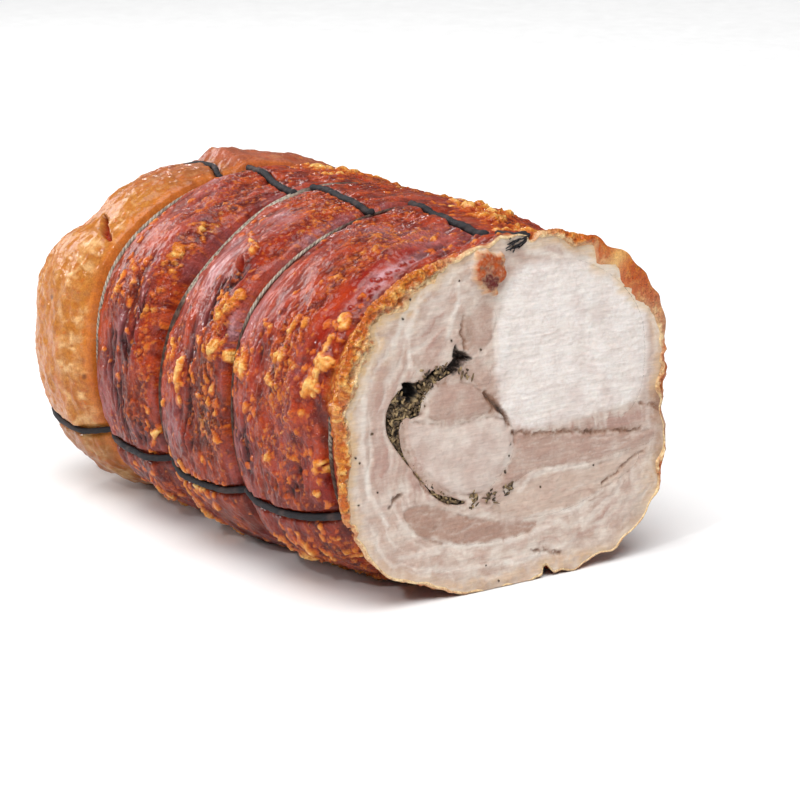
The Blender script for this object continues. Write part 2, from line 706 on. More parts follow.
def twine_look(name, low, high, stain):
    """Twisted cotton. The field valley is 1 between the strands, and stained is 1 where it charred."""
    look = Look(name, IOR=1.4, Specular_IOR_Level=0.3)
    fuzz = look.speckle(0.7, rough=0.7)
    colour = look.blend(look.span(fuzz, 0.3, 0.7), low, high)
    colour = look.blend(look.field("stained"), colour, stain)
    colour = look.blend(look.span(look.field("valley"), 0, 1, 0, 0.85), colour, screen(44, 34, 30))
    look.set("Base Color", colour)
    look.set("Roughness", look.span(fuzz, 0.3, 0.7, 0.55, 0.9))
    look.set("Normal", look.bump(fuzz, 0.3))
    return look.material


# ---------------------------------------------------------------- rind

# Patches of the rind: angle, station, how far they reach in angle and along the roll, amount
PUFFED = [
    (166, 24.5, 3.8, 4.8, 1), (159.5, 23, 3, 4, 1), (167, 79, 4.6, 7, 1), (178, 71, 2.2, 3, 1),
    (176, 64, 3.4, 2.2, 0.7), (156.5, 65, 1.5, 4.5, 0.9), (161.5, 46, 4.5, 7, 0.6), (154.5, 47, 4.5, 6, 0.5),
    (169, 49, 2.5, 5, 0.5), (184, 64, 4, 3, 0.35), (188, 51, 4, 4, 0.3), (190, 20, 5, 3, 0.5),
    (165, 98, 4, 6, 1), (155, 99, 5, 6, 0.9), (176.5, 129, 4.5, 4.5, 1), (172, 144, 8, 9, 0.5),
    (138, 107, 2, 3.5, 1), (135, 113, 1.5, 4, 0.9), (132.5, 124, 1.4, 6, 0.8), (184, 96, 3.4, 3.4, 0.7),
    (177, 108, 6, 9, 0.35), (206, 128, 5, 18, 0.8), (160, 197, 2.5, 4, 0.7), (152, 192, 3, 6, 0.7),
    (156, 185, 3, 3, 0.4), (175, 167, 8, 4, 0.35), (196, 166, 5, 5, 0.5), (150, 168, 18, 3, 0.3),
    (112, 21, 5, 3, 0.7), (147, 20, 5, 3, 0.8), (66, 12, 12, 9, 0.9), (44, 9, 10, 8, 0.8),
    (78, 26, 6, 4, 0.5),
]
GRAINY = [
    (118, 60, 14, 14, 0.9), (128, 44, 10, 8, 0.8), (108, 44, 9, 12, 0.9), (140, 38, 10, 4, 0.8),
    (104, 76, 10, 10, 0.7), (180, 40, 20, 15, 0.9), (160, 46, 14, 12, 0.7), (186, 56, 10, 6, 0.6),
    (164, 76, 8, 9, 0.5), (120, 98, 22, 7, 1), (112, 116, 12, 16, 0.9), (108, 142, 10, 12, 0.8),
    (183, 106, 15, 15, 1), (158, 98, 11, 8, 0.8), (172, 146, 9, 10, 0.5), (152, 168, 34, 5, 1),
    (126, 184, 16, 18, 0.8), (108, 200, 10, 16, 0.7), (158, 190, 9, 10, 0.7), (190, 176, 12, 8, 0.6),
    (70, 190, 22, 26, 0.5), (72, 24, 18, 9, 0.6), (78, 150, 10, 40, 0.5), (116, 36, 14, 6, 0.8),
]
TAUT = [
    (150, 76, 12, 8, 0.9), (137, 68, 8, 12, 0.6), (144, 130, 12, 14, 1), (124, 112, 6, 6, 0.6),
    (120, 136, 8, 14, 0.5), (130, 22.5, 11, 5, 0.9), (128, 206, 12, 8, 0.5), (86, 50, 7, 20, 0.6),
    (80, 108, 12, 16, 0.6), (84, 240, 14, 16, 0.6), (143, 192, 6, 13, 0.9), (150, 29.5, 14, 3, 0.6),
]
LILAC = [
    (130, 22.5, 12, 4.6, 1), (152, 82, 10, 4, 0.5), (113, 62, 4, 7, 0.5), (137, 134, 7, 10, 0.5),
    (158, 92.5, 5, 2, 0.6), (127, 93, 8, 2, 0.5), (122, 122, 4, 8, 0.5), (113, 212, 5, 8, 0.5),
    (146, 101, 5, 1.6, 0.5), (147, 126, 7, 8, 0.55), (108, 36, 10, 12, 0.3), (154, 146, 8, 5, 0.5),
]
MAUVE = [
    (189, 77, 10, 9, 0.9), (185, 38, 14, 13, 0.4), (162, 34, 6, 3, 0.6), (113, 61, 6, 9, 0.7),
    (150, 68, 16, 12, 0.35), (190, 138, 8, 12, 0.9), (166, 120, 9, 3.4, 0.8), (152, 112, 9, 5, 0.6),
    (126, 112, 6, 6, 0.7), (186, 197, 10, 9, 0.8), (172, 188, 8, 6, 0.9), (160, 175, 12, 3, 0.8),
    (192, 211, 9, 7, 0.8), (128, 196, 14, 16, 0.5), (198, 176, 4, 12, 0.7), (110, 90, 12, 6, 0.4),
    (108, 34, 12, 14, 0.5), (130, 174, 16, 4, 0.5),
]
RED = [
    (150, 29, 10, 3.4, 1), (134, 30.5, 8, 2.2, 1), (120, 28.5, 8, 2, 0.8), (162, 66, 8, 3, 0.5),
    (184, 67, 10, 3, 0.6), (140, 100, 12, 4, 0.6), (168, 172, 9, 5, 0.7), (128, 100, 8, 4, 0.4),
    (206, 60, 6, 20, 0.4), (196, 22, 4, 6, 0.7), (128, 74, 4, 12, 0.6), (194, 205, 4, 4, 0.6),
]
GLOW = [
    (145, 30.5, 8, 1.8, 0.7), (163, 126, 4, 5, 1), (143, 192, 5.5, 13, 0.9), (152, 60, 10, 5, 0.6),
    (188, 60, 8, 6, 0.5), (160, 56, 12, 6, 0.4), (175, 30, 10, 5, 0.5), (148, 52, 8, 8, 0.4),
    (136, 104, 7, 4, 0.4), (168, 212, 12, 8, 0.8), (160, 172, 14, 4, 0.6), (170, 150, 12, 8, 0.6),
]
UMBER = [
    (184, 106, 15, 14, 0.9), (187, 64, 9, 5, 0.5), (199, 40, 4, 20, 0.5), (192, 178, 12, 9, 0.7),
    (168, 108, 6, 10, 0.5), (170, 60, 8, 5, 0.3), (166, 184, 14, 14, 0.55), (184, 204, 10, 10, 0.5),
]
WRINKLED = [
    (188, 76, 9, 8, 0.8), (190, 124, 8, 6, 0.7), (170, 120, 12, 3.5, 1), (154, 110, 8, 6, 1),
    (146, 103, 6, 3.5, 1), (186, 190, 12, 9, 1), (172, 180, 10, 5, 1), (162, 173, 8, 3, 0.8),
    (196, 45, 4, 24, 0.5), (196, 180, 6, 20, 0.6), (112, 61, 5, 6, 0.5), (197, 148, 5, 8, 0.6),
    (162, 66, 5, 4, 0.7), (186, 33, 10, 6, 0.5), (176, 196, 8, 8, 0.6),
]
# Golden puffs that stand alone: angle, station, half-length in angle, half-width along the roll, height
LUMPS = [
    (165.8, 24.6, 3.7, 4.8, 1), (159.4, 23, 2.9, 3.8, 0.9), (162.6, 27, 1.8, 2.6, 0.6),
    (178, 71, 1.9, 3, 0.8), (156.4, 65.5, 1.1, 4.2, 0.7), (157.4, 61.5, 1.3, 2, 0.6),
    (169.5, 76, 2.4, 4, 0.7), (165.2, 77.5, 2.8, 5, 0.7), (161.8, 46, 2, 4, 0.5), (164.6, 98, 2.8, 5, 0.8),
    (156.8, 100, 3.6, 4.4, 0.5), (153, 97, 2.4, 4, 0.5), (176.6, 129, 3.6, 3.6, 0.9),
    (182, 130, 2.4, 2.2, 0.5), (139, 106, 1.3, 2.8, 0.8), (136.6, 110.5, 1.2, 3.2, 0.7),
    (134.4, 117, 0.9, 4, 0.7), (132.2, 128, 0.8, 4, 0.6), (160, 197, 1.2, 3, 0.6),
    (152.4, 188, 1.3, 2.6, 0.6), (150.6, 196, 1, 3.6, 0.5), (169, 49.5, 1.6, 3, 0.5), (154.6, 46, 2, 3, 0.4),
]
# Round blisters on the smooth skin behind the first hoop: angle, station, radius
BLISTERS = [
    (139.6, 22.8, 1.7), (136.2, 22.6, 1.3), (134.6, 20.4, 1.2), (132.2, 23.4, 1.5), (130.6, 21, 1.1),
    (128.6, 22.8, 1.4), (126.4, 20.8, 1), (123.4, 22.6, 1.7), (137.8, 19.6, 1), (133, 25.6, 1),
    (120.6, 21.4, 1), (143.4, 23.2, 1.1), (130.2, 18.8, 1),
]
# Torn openings in the rind: angle and station of both ends, half-width, depth, height of the lips
TEARS = [(144.4, 103, 140.8, 112, 1.9, 3.4, 0.7), (147.2, 231, 140.4, 258, 2.4, 4.6, 0.2)]
# Specks burnt into the golden end
SCORCH_MARKS, SCORCH_RADIUS = [(167.5, 257), (187, 229.5)], 1.3
RIM_WIDTH = 1.1
# Where the rind's cut edge shows more on the face: angle, spread, how much wider there
RIM_WIDENINGS = [
    (156, 24, 8), (130, 14, 7), (40, 19, 10.5), (68, 12, 2.4), (-168, 14, 2.4), (4, 7, 2), (-24, 6, 2),
]
RIM_ROWS = 18
# Slits in the puffed edge: right of the axis, above it, half-length, half-width, lie in degrees, depth
SLITS = [
    (-80, 55.5, 7, 1.5, 44, 2.6), (-72, 55, 5.5, 1, 48, 1.8), (-94, 33.5, 5.5, 2, 66, 3),
    (-50.5, 71.5, 8.5, 2, 22, 2.4), (-66.5, 64.5, 4, 1.3, 34, 1.6), (-97.5, 12, 3, 1.4, 80, 1.8),
]


def patches(places, degrees, station):
    """Soft oval patches of the rind added up, from 0 to 1."""
    total = np.zeros(np.shape(degrees))
    for angle, centre, turn, reach, amount in places:
        away = (wrapped(degrees - angle) / turn) ** 2 + ((station - centre) / reach) ** 2
        total += amount * np.exp(-away)
    return unit(total)


def column_angles():
    """Angles round the roll, close together on the side with the richest crackling."""
    stretches = [(FIRST_ANGLE, 60, COARSE_STEP), (60, 95, MIDDLE_STEP), (95, 206, FINE_STEP),
                 (206, FIRST_ANGLE + 360, MIDDLE_STEP)]
    return np.concatenate([np.arange(start, end, step / MM_PER_DEGREE) for start, end, step in stretches])


COLUMNS = column_angles()


def side_rows(start, end):
    """(station, share of the section, lean, distance along the skin) for rows between two stations."""
    stations = np.linspace(start, end, int((end - start) / ROW_STEP) + 2)
    return [(s, 1, 0, s) for s in stations]


def shoulder_rows():
    """The same for rows over the rounded shoulder, as far as its lip."""
    rows, gone, last = [], SHOULDER_START, None
    for turn in np.radians(np.linspace(0, 90, 92)):
        station = SHOULDER_START + (LENGTH - SHOULDER_START) * np.sin(turn) ** (2 / SHOULDER_POWER)
        share = LIP_SHARE + (1 - LIP_SHARE) * max(np.cos(turn), 0) ** (2 / SHOULDER_POWER)
        if last:
            gone += np.hypot(station - last[0], (share - last[1]) * HALF_HEIGHT)
        last = (station, share)
        rows.append((station, share, float(turn), gone))
    return rows


def base_grid(rows):
    """The rind before its crackling: points by row and column, radii, and how clear of twine each is."""
    station, share, lean, _ = (np.array(values)[:, None] for values in zip(*rows))
    degrees = np.broadcast_to(COLUMNS, (len(rows), len(COLUMNS)))
    at = np.broadcast_to(np.minimum(station, RELIEF_END), degrees.shape)
    radius, clear = grooved_radius(degrees, at)
    radius = radius + sampled(tear, COLUMNS[None, :], np.minimum(station, 8)) * (1 - ramp(station, 0, 8))
    radius = (radius - 0.8 * (1 - ramp(station, 0, 1.8)) ** 2) * share
    return around(degrees, radius, station + np.sin(lean) * end_reach(degrees)), radius, clear


def slope_at(station):
    """The way the rind's surface runs towards the back at a station."""
    before, after = (base_grid([(station + off, 1, 0, station + off)])[0][0] for off in (-0.3, 0.3))
    return after - before


def outward_of(points, first=None, last=None):
    """Unit normals of a grid whose columns close into a ring. first and last replace its end rows' slopes."""
    down = np.gradient(points, axis=0)
    if first is not None:
        down[0] = first
    if last is not None:
        down[-1] = last
    across = np.roll(points, -1, axis=1) - np.roll(points, 1, axis=1)
    normals = np.cross(down, across)
    return normals / np.maximum(np.linalg.norm(normals, axis=-1, keepdims=True), 1e-12)


def to_spot(degrees, along, angle, station):
    """Millimetres over the skin to a spot."""
    return np.hypot(wrapped(degrees - angle) * MM_PER_DEGREE, along - station)


def blistered(height, degrees, along):
    """The height with the round blisters on it, and how close each point is to a blister's edge."""
    blisters, edge = np.zeros(height.shape), np.zeros(height.shape)
    for angle, station, radius in BLISTERS:
        off = to_spot(degrees, along, angle, station)
        blisters = np.maximum(blisters, dome(off, radius) * radius)
        edge = np.maximum(edge, np.exp(-(((off - 0.95 * radius) / 0.45) ** 2)))
    return np.where(blisters > 0, 0.2 * height + 1.15 * blisters, height), edge


def torn_open(height, degrees, along, pebble):
    """The height with the tears in it, how open each point is, and how much it is a tear's lip."""
    torn, torn_lip = np.zeros(height.shape), np.zeros(height.shape)
    for angle, station, angle_to, station_to, half_width, depth, lip_height in TEARS:
        run_u, run_v = (angle_to - angle) * MM_PER_DEGREE, station_to - station
        off_u, off_v = wrapped(degrees - angle) * MM_PER_DEGREE, along - station
        share = (off_u * run_u + off_v * run_v) / (run_u**2 + run_v**2)
        aside = np.hypot(off_u - unit(share) * run_u, off_v - unit(share) * run_v) + 0.5 * pebble
        aside = aside / (half_width * (0.45 + 0.55 * np.sin(np.pi * np.clip(share, 0.02, 0.98))))
        opened = faded(aside, 0.45, 1.15)
        lip = eased(aside, 0.8, 1.3) * faded(aside, 1.3, 3)
        height = height - depth * opened + lip_height * lip
        torn, torn_lip = np.maximum(torn, opened), np.maximum(torn_lip, lip)
    return height, torn, torn_lip


def rind_patches(degrees, along, wide, other, tied):
    """How much of each kind of skin there is. Noise places it where the photo doesn't show the rind."""
    unseen = eased(np.abs(wrapped(degrees - SHOWN_ANGLE)), 58, 78)

    def placed(places, noise=-1, start=0, end=1, strength=1):
        return np.maximum(patches(places, degrees, along), unseen * eased(noise, start, end) * strength)

    puffed = placed(PUFFED, wide, 0, 0.6) * tied
    grainy = placed(GRAINY, other, -0.2, 0.4) * tied
    taut = placed(TAUT, -wide, 0.2, 0.55, 0.8)
    red = placed(RED, -other, 0.25, 0.6, 0.7)
    glow = placed(GLOW, other + wide, 0.3, 0.8, 0.6) * tied
    mauve = placed(MAUVE, wide - other, 0.2, 0.8, 0.7) * tied
    umber = placed(UMBER, -wide - other, 0.2, 0.8) * tied
    return puffed, grainy, taut, red, glow, mauve, umber, placed(LILAC) * tied, placed(WRINKLED) * tied


def crackling(turned, moved, bent, pebble, puffed, grainy, calm, tied):
    """The golden lumps from puffs to specks, how golden each point is, and the ring round the big ones."""
    blob, blob_ring = beads(*bent, 7, 5.2, 21, puffed * 0.55)
    scattered = np.clip(puffed * 0.8 + 0.04 * calm, 0, 0.65) * tied
    knob, knob_ring = beads(bent[0] + 40, bent[1], 4.2, 3.4, 22, scattered)
    grain, _ = beads(*bent, 2.9, 2.7, 23, np.clip(grainy * 0.4 + 0.25 * puffed, 0, 0.6))
    grit = eased(rough_noise(bent[0] / 2.6, bent[1] / 2, 93), 0.02, 0.5)
    grain = np.maximum(0.85 * grain, grit * eased(grainy + 0.7 * puffed, 0.15, 0.9))
    specked = np.clip(grainy * 0.42 + 0.4 * puffed + 0.06 * calm, 0, 0.55)
    speck, _ = beads(bent[0] + 17, bent[1], 1.9, 1.8, 24, specked)
    for angle, station, turn, reach, lift in LUMPS:
        spread = ((wrapped(turned - angle) / turn) ** 2 + ((moved - station) / reach) ** 2) ** 0.5
        spread = spread + 0.22 * pebble
        blob = np.maximum(blob, eased(1 - spread, -0.05, 0.5) * lift)
        blob_ring = np.maximum(blob_ring, faded(spread, 1, 1.5) * (spread > 1))
    golden = np.clip(1.1 * blob + 0.75 * knob, 0, 1.2)
    return blob, knob, grain, speck, golden, unit(blob_ring + 0.7 * knob_ring) * (golden < 0.1)


def rind_relief(degrees, along, clear):
    """Height of the crackling in millimetres, and the fields that colour it."""
    way = way_round(degrees)

    def rough(turn, run, seed, octaves=3):
        return rough_noise(way / turn, along / run, seed, octaves)

    turned = degrees + 1.6 * rough(7, 7, 5)
    moved = along + 2.6 * rough(7, 7, 6)
    behind = eased(along, HOOPS[-1] - 1, HOOPS[-1] + 6)
    tied = 1 - behind
    wide, other = rough(34, 26, 71), rough(28, 22, 83)
    kinds = rind_patches(turned, moved, wide, other, tied)
    puffed, grainy, taut, red, glow, mauve, umber, lilac, wrinkled = kinds
    near_hoop = faded(np.min([np.abs(along - hoop) for hoop in HOOPS], axis=0), 3, 9)
    near_hoop = near_hoop * (1 - hoop_cover(degrees) * (along < 0.5 * HOOPS[1]))
    calm = 1 - 0.75 * np.maximum(taut, 0.8 * near_hoop)

    # Lumps, creases, streaks and waves
    bent = way + 1.7 * rough(4.5, 4.5, 11), along + 1.7 * rough(4.5, 4.5, 12)
    pebble = rough(1.9, 1.9, 66, 2)
    lumps = crackling(turned, moved, bent, pebble, puffed, grainy, calm, tied)
    blob, knob, grain, speck, golden, ring = lumps
    crease = unit(1 - np.abs(rough(15, 3.6, 61, 2)) * 2.4) ** 1.5 * eased(wrinkled, 0.2, 0.65)
    streak, rumple, waves = rough(16, 1.9, 64, 2), rough(5, 4, 65), rough(20, 8, 62)
    drawn = rough_noise((way + 0.6 * along) / 15, along / 2.4, 63, 2)
    height = 1.7 * blob + 0.75 * knob * (1 - 0.4 * blob) + 0.62 * grain + 0.25 * speck
    height = height + waves * (1.3 * calm + 0.2) + 0.22 * streak * calm + 0.7 * rumple * calm - 1.7 * crease
    height = height + 0.7 * eased(puffed, 0.2, 0.8) + 0.16 * pebble * (calm - 0.2) * tied
    height = height + 0.38 * pebble * eased(golden, 0.1, 0.6)
    height = height + behind * (0.45 * rough(6, 6, 67) + 0.12 * pebble)
    height, blister_edge = blistered(height, degrees, along)
    height, torn, torn_lip = torn_open(height, degrees, along, pebble)

    # The puffed fringe along the cut, and the smooth amber skin at its upper right
    reach = 6 + 9 * bell(degrees, 148, 12) + 12 * bell(degrees, 170, 14) + 5 * bell(degrees, 112, 9)
    amber = bell(degrees, 40, 20) * faded(along + 4 * rumple, 8, 22)
    fringe = faded(along + 2 * wide + 1.2 * rumple, 0.6 * reach, reach)
    fringe = fringe * rim_puff(degrees) * (1 - 0.8 * amber)
    bits, _ = beads(*bent, 2.9, 2.6, 91, 0.95)
    height = height * (1 - 0.6 * amber) + fringe * (0.8 * bits + 0.5 * pebble)

    # The smooth end behind the last hoop
    flap = faded(wrapped(turned - LAP_ANGLE + 1), 0, 4) * eased(wrapped(turned - 10), 0, 30)
    upper_end = faded(turned, 112, 134) * behind
    foam = rough_noise(bent[0] / 3.4, bent[1] / 5, 68)
    whole = 1 - torn
    tan = behind * (1 - 0.5 * flap) * (0.9 - 0.22 * eased(wide + 0.6 * rumple, 0, 0.7))
    edge_of_end = behind * faded(along + 3 * rumple, HOOPS[-1] + 1, HOOPS[-1] + 9)
    frosted = bell(along, HOOPS[-1] + 15, 8) * behind * eased(foam, -0.4, 0.7) * (turned > 140)
    to_scorch = np.min([to_spot(degrees, along, *mark) for mark in SCORCH_MARKS], axis=0)
    scorched = np.exp(-((to_scorch / SCORCH_RADIUS) ** 4))

    plain = faded(golden, 0.05, 0.3)
    under_side = eased(wrapped(degrees - 196), 0, 14) * faded(wrapped(degrees - 196), 70, 100)
    hue = eased(bell(along, 0, 1) + rough(6, 6, 69), -0.4, 0.5)
    fields = {
        "umber": umber * plain,
        "mauve": unit(mauve * (0.6 + 0.6 * hue) + 0.5 * near_hoop * eased(streak + other, -0.2, 0.6)
                      + 0.35 * upper_end) * plain,
        "salmon": unit(0.85 * taut * eased(drawn, -0.5, 0.4)
                       + 0.25 * near_hoop * eased(streak - other, -0.2, 0.6)
                       + 0.35 * torn_lip + 0.4 * flap * behind) * plain * (1 - behind * (1 - flap)),
        "lilac": lilac * plain * (1 - blister_edge) * (0.6 + 0.4 * eased(drawn, -0.5, 0.3)),
        "red": unit(red * (1 - 0.4 * grainy) + 0.5 * ring + torn + 1.2 * blister_edge) * plain,
        "glow": unit(glow * hue + 0.6 * taut * eased(-drawn, 0, 0.5) * (1 - lilac) + edge_of_end * 0.4
                     + 0.8 * torn * eased(pebble, -0.4, 0.4)) * plain,
        "tan": tan * (1 - 0.45 * upper_end) * whole,
        "buff": tan * unit(0.8 * frosted + 0.45 * eased(foam + 0.6 * streak, 0.1, 1)) * whole,
        "orange": unit(eased(grain, 0.2, 0.9) * 0.7 * eased(hue + 0.3 * pebble, 0.1, 0.6)
                       + eased(speck, 0.3, 0.9) * 0.45 + 2 * golden + edge_of_end * 0.5 * whole
                       + fringe * 0.8 + amber * 0.8),
        "gold": unit(eased(golden + 0.4 * pebble + 0.2 * rumple, 0.3, 1) + fringe * (0.3 + 0.7 * bits)
                     + edge_of_end * 0.45 * whole + eased(grain * grainy, 0.6, 1) * 0.5
                     + eased(speck, 0.75, 1) * 0.4 + amber * eased(rumple + pebble, -0.6, 0.3)),
        "bright": unit(eased(golden + 0.45 * pebble + 0.25 * foam, 0.8, 1.45) * 0.85 + fringe * bits**3 * 0.3
                       + eased(grain + 0.3 * pebble, 1, 1.3) * 0.5),
        "cream": np.zeros(height.shape),
        "dark": np.clip(crease + 0.15 * torn + 0.3 * wrinkled + 0.35 * ring + 0.35 * under_side
                        + 0.9 * scorched + 0.45 * eased(-waves - 0.4 * rumple, 0.1, 0.7) * tied
                        + 0.5 * amber * eased(-rumple - 0.5 * pebble, 0.1, 0.5), 0, 0.9) * plain,
        "crackle": unit(0.8 * grainy + fringe + 0.4 * puffed),
    }
    return height * clear, fields


def rim_puff(degrees, spreading=1.1, least=0.1):
    """How puffed the cut edge of the rind is, up to 1."""
    return np.clip(sum(bell(degrees, at, spread * spreading) for at, spread, _ in RIM_WIDENINGS), least, 1)


def skin_place(degrees, along):
    """Unrolled place on the skin, in metres, that the materials' streaks follow."""
    return np.stack([way_round(degrees), along, np.zeros(np.shape(along))], axis=-1).reshape(-1, 3) * MM


def rind_piece(name, rows, look, lip=False):
    """The rind over a run of rows."""
    points, _, clear = base_grid(rows)
    degrees = np.broadcast_to(COLUMNS, points.shape[:2])
    along = np.broadcast_to(np.array([row[3] for row in rows])[:, None], points.shape[:2])
    height, fields = rind_relief(degrees, along, clear)
    if lip:
        height = height * (1 - 0.8 * ramp(along, rows[-1][3] - 8, rows[-1][3]))
    points = points + outward_of(points, first=slope_at(rows[0][0])) * (height * MM)[..., None]
    points[..., 2] = np.maximum(points[..., 2], 0)
    if lip:
        points, fields, degrees, along = with_lip(points, fields, degrees, along)
    fields = {key: value.ravel() for key, value in fields.items()}
    fields["skin"] = skin_place(degrees, along)
    faces = band_faces(*points.shape[:2])
    make_piece(name, points.reshape(-1, 3), faces, look, ["rolled_belly"], fields)
    return points


def with_lip(points, fields, degrees, along):
    """The rind's rows carried round its back edge to the meat."""
    centre = np.array([AXIS_X, 0, AXIS_HEIGHT]) * MM
    added = []
    for share, behind in ((0.985, 0.2), (0.968, 1), (0.958, 2.4), (0.955, RIND_THICKNESS), (0.95, 8)):
        ring = centre + (points[-1] - centre) * share
        ring[:, 1] = points[-1][:, 1] - behind * MM
        added.append(ring)
    ring = added[-1].copy()
    ring[:, 1] = (FRONT + MEAT_EDGE_STATION - 1) * MM
    added.append(ring)
    count = len(added)

    def carried(values):
        return np.concatenate([values, np.repeat(values[-1:], count, axis=0)])

    fields = {key: carried(values) for key, values in fields.items()}
    fields["dark"][-count:] = np.linspace(0.1, 0.6, count)[:, None]
    along = np.concatenate([along, along[-1:] + np.arange(1, count + 1)[:, None]])
    return np.concatenate([points, np.array(added)]), fields, carried(degrees), along


def rim_width(degrees):
    width = RIM_WIDTH + sum(wider * bell(degrees, at, spread) for at, spread, wider in RIM_WIDENINGS)
    wander = 1 + 0.5 * rough_noise(degrees / 5, degrees * 0, 131)
    return width * np.clip(wander, 0.5, 1.6)


def slit_depth(across, up, strands):
    """How deep the slits in the rind's puffed edge are."""
    slit = np.zeros(across.shape)
    for x, z, half_length, half_width, lie, depth in SLITS:
        c, s = np.cos(np.radians(lie)), np.sin(np.radians(lie))
        lengthwise = (across - x) * c + (up - z) * s
        crosswise = (up - z) * c - (across - x) * s + 0.5 * strands
        away = np.hypot(lengthwise / half_length, crosswise / half_width)
        slit = np.maximum(slit, depth * faded(away, 0.5, 1.1))
    return slit


def puffed_edge(across, up, degrees, inner, width, on_rim):
    """Height of the rind's edge round the face, and its colour fields. inner is 1 where the meat starts."""
    strands = rough_noise(across / 2.2, up / 2.2, 151)
    stray_x, stray_z = across + 1.2 * strands, up + 1.2 * rough_noise(across / 3, up / 3, 152)
    flakes = unit(1 - 2.4 * np.abs(rough_noise(stray_x / 4, stray_z / 4, 154)))
    crumb = rough_noise(stray_x / 1.7, stray_z / 1.7, 155)
    layers = rough_noise(way_round(degrees) / 9, (inner * width + 1.2 * strands) / 1.9, 156)
    coarse, _ = beads(stray_x, stray_z, 4.4, 4.4, 141, 0.7)
    small, _ = beads(stray_x, stray_z, 2.1, 2.1, 143, 0.8)
    amber = bell(degrees, 40, 24)
    lumps = np.clip(0.4 * coarse + 0.2 * small + 0.6 * flakes + 0.35 * crumb, 0, 1.2) * (1 - 0.85 * amber)
    height = 1.35 * lumps + 0.5 * crumb + 0.9 * layers + 1.2 * np.sin(np.pi * unit(inner))
    slit = slit_depth(across, up, strands)
    height = rim_puff(degrees, 1.2, 0.15) * height * (1 - 0.8 * amber) - slit

    amber = amber * on_rim
    plain = on_rim * (1 - rim_puff(degrees))
    golden = (1 - 0.75 * amber) * (1 - plain)
    fade = eased(inner + 0.35 * strands, 0.3, 0.9)
    crest = eased(lumps + 0.4 * strands + 0.5 * layers, 0.15, 0.9)
    burnt = bell(degrees, -2, 24)
    cream = fade * (1 - 0.85 * amber) * (0.6 + 0.4 * crest)
    cream = cream + plain * (0.75 + 0.5 * strands) * (1 - 0.6 * burnt)
    absent = {key: 0 for key in ("salmon", "mauve", "lilac", "umber", "glow", "tan", "buff")}
    return height, absent | {
        "orange": unit(1 - 0.3 * crest - 0.4 * fade * (1 - amber)) * (1 - 0.8 * plain),
        "gold": (0.25 + 0.75 * crest) * golden + 0.55 * amber * eased(strands, -0.2, 0.5),
        "bright": eased(lumps + 0.3 * layers, 0.6, 1.1) * 0.6 * golden + 0.7 * amber * bell(degrees, 49, 3),
        "dark": np.clip(slit * 0.1 + 0.5 * burnt * eased(strands, -0.3, 0.4)
                        + 0.5 * amber * eased(-strands, 0.2, 0.6), 0, 0.7),
        "red": np.clip(slit * 0.3 + 0.3 * eased(-layers, 0.1, 0.6) * golden
                       + 0.3 * amber * eased(-strands, -0.1, 0.5), 0, 0.9),
        "cream": np.clip(cream, 0, 0.9),
    }


def front_piece(look):
    """The rind from the first hoop to the cut, with its puffed edge. Returns the face's outer loop."""
    rows = side_rows(0, HOOPS[0])
    points, radius, clear = base_grid(rows)
    width = rim_width(COLUMNS)
    inward = np.linspace(1, 0, RIM_ROWS + 1)[:-1, None]
    rim = around(COLUMNS[None, :], radius[0] - width * inward, 0 * inward)
    stations = np.array([row[0] for row in rows])[:, None]
    along = np.concatenate([-inward * width, stations + 0 * width])
    inner = np.concatenate([inward, 0 * stations]) + 0 * width
    on_rim = np.concatenate([1 + 0 * inward, 1 - ramp(stations, 0, 3)]) + 0 * width
    points = np.concatenate([rim, points])
    degrees = np.broadcast_to(COLUMNS, points.shape[:2])
    height, fields = rind_relief(degrees, np.abs(along), np.concatenate([np.ones(rim.shape[:2]), clear]))
    across = points[..., 0] / MM - AXIS_X
    up = points[..., 2] / MM - AXIS_HEIGHT
    edge_height, edge_fields = puffed_edge(across, up, degrees, inner, width, on_rim)
    height = mix(height, edge_height, on_rim) * faded(inner, 0.8, 1)
    points = points + outward_of(points, last=slope_at(HOOPS[0])) * (height * MM)[..., None]
    points[..., 2] = np.maximum(points[..., 2], 0)
    points[0] = rim[0]
    fields |= {key: mix(fields[key], share, on_rim) for key, share in edge_fields.items()}
    fields = {key: value.ravel() for key, value in fields.items()}
    fields["skin"] = skin_place(degrees, along)
    faces = band_faces(*points.shape[:2])
    make_piece("rind_cut_edge", points.reshape(-1, 3), faces, look, ["rolled_belly"], fields)
    return rim[0][:, [0, 2]] / MM - [AXIS_X, AXIS_HEIGHT]


# ---------------------------------------------------------------- cut meat

# Seams and marks on the face, right of the axis and above it
PALE_SEAMS = [
    [(-67, -59), (-55.5, -58.9), (-44.5, -60.3)],
    [(-48, -52.7), (-35, -58.9), (-17, -60.8), (3, -61.8), (24, -58)],
    [(3, -38), (10, -31), (23.4, -30.6), (34.3, -30.2), (44, -31.2)],
    [(10.6, -51.2), (34.8, -52.7), (53.6, -45.6)], [(-60, 31.7), (-61.5, 38), (-62.2, 50), (-57.2, 57.8)],
    [(-33.5, 68), (-34.2, 58), (-40, 44)],
    [(6.5, 78.2), (21.6, 75.2), (38.5, 72), (55.8, 64.4), (70.2, 56.3), (81.7, 44.8), (86.1, 30.2)],
    [(-9.5, 60), (-13, 48), (-11, 30)], [(-3.2, 66.8), (-9.1, 60.2)],
    [(-86, 20), (-88, 0), (-84, -24), (-74, -42)], [(-70, 44), (-64, 58), (-50, 66)],
    [(-58, -66), (-30, -71), (2, -73), (30, -70)],
]
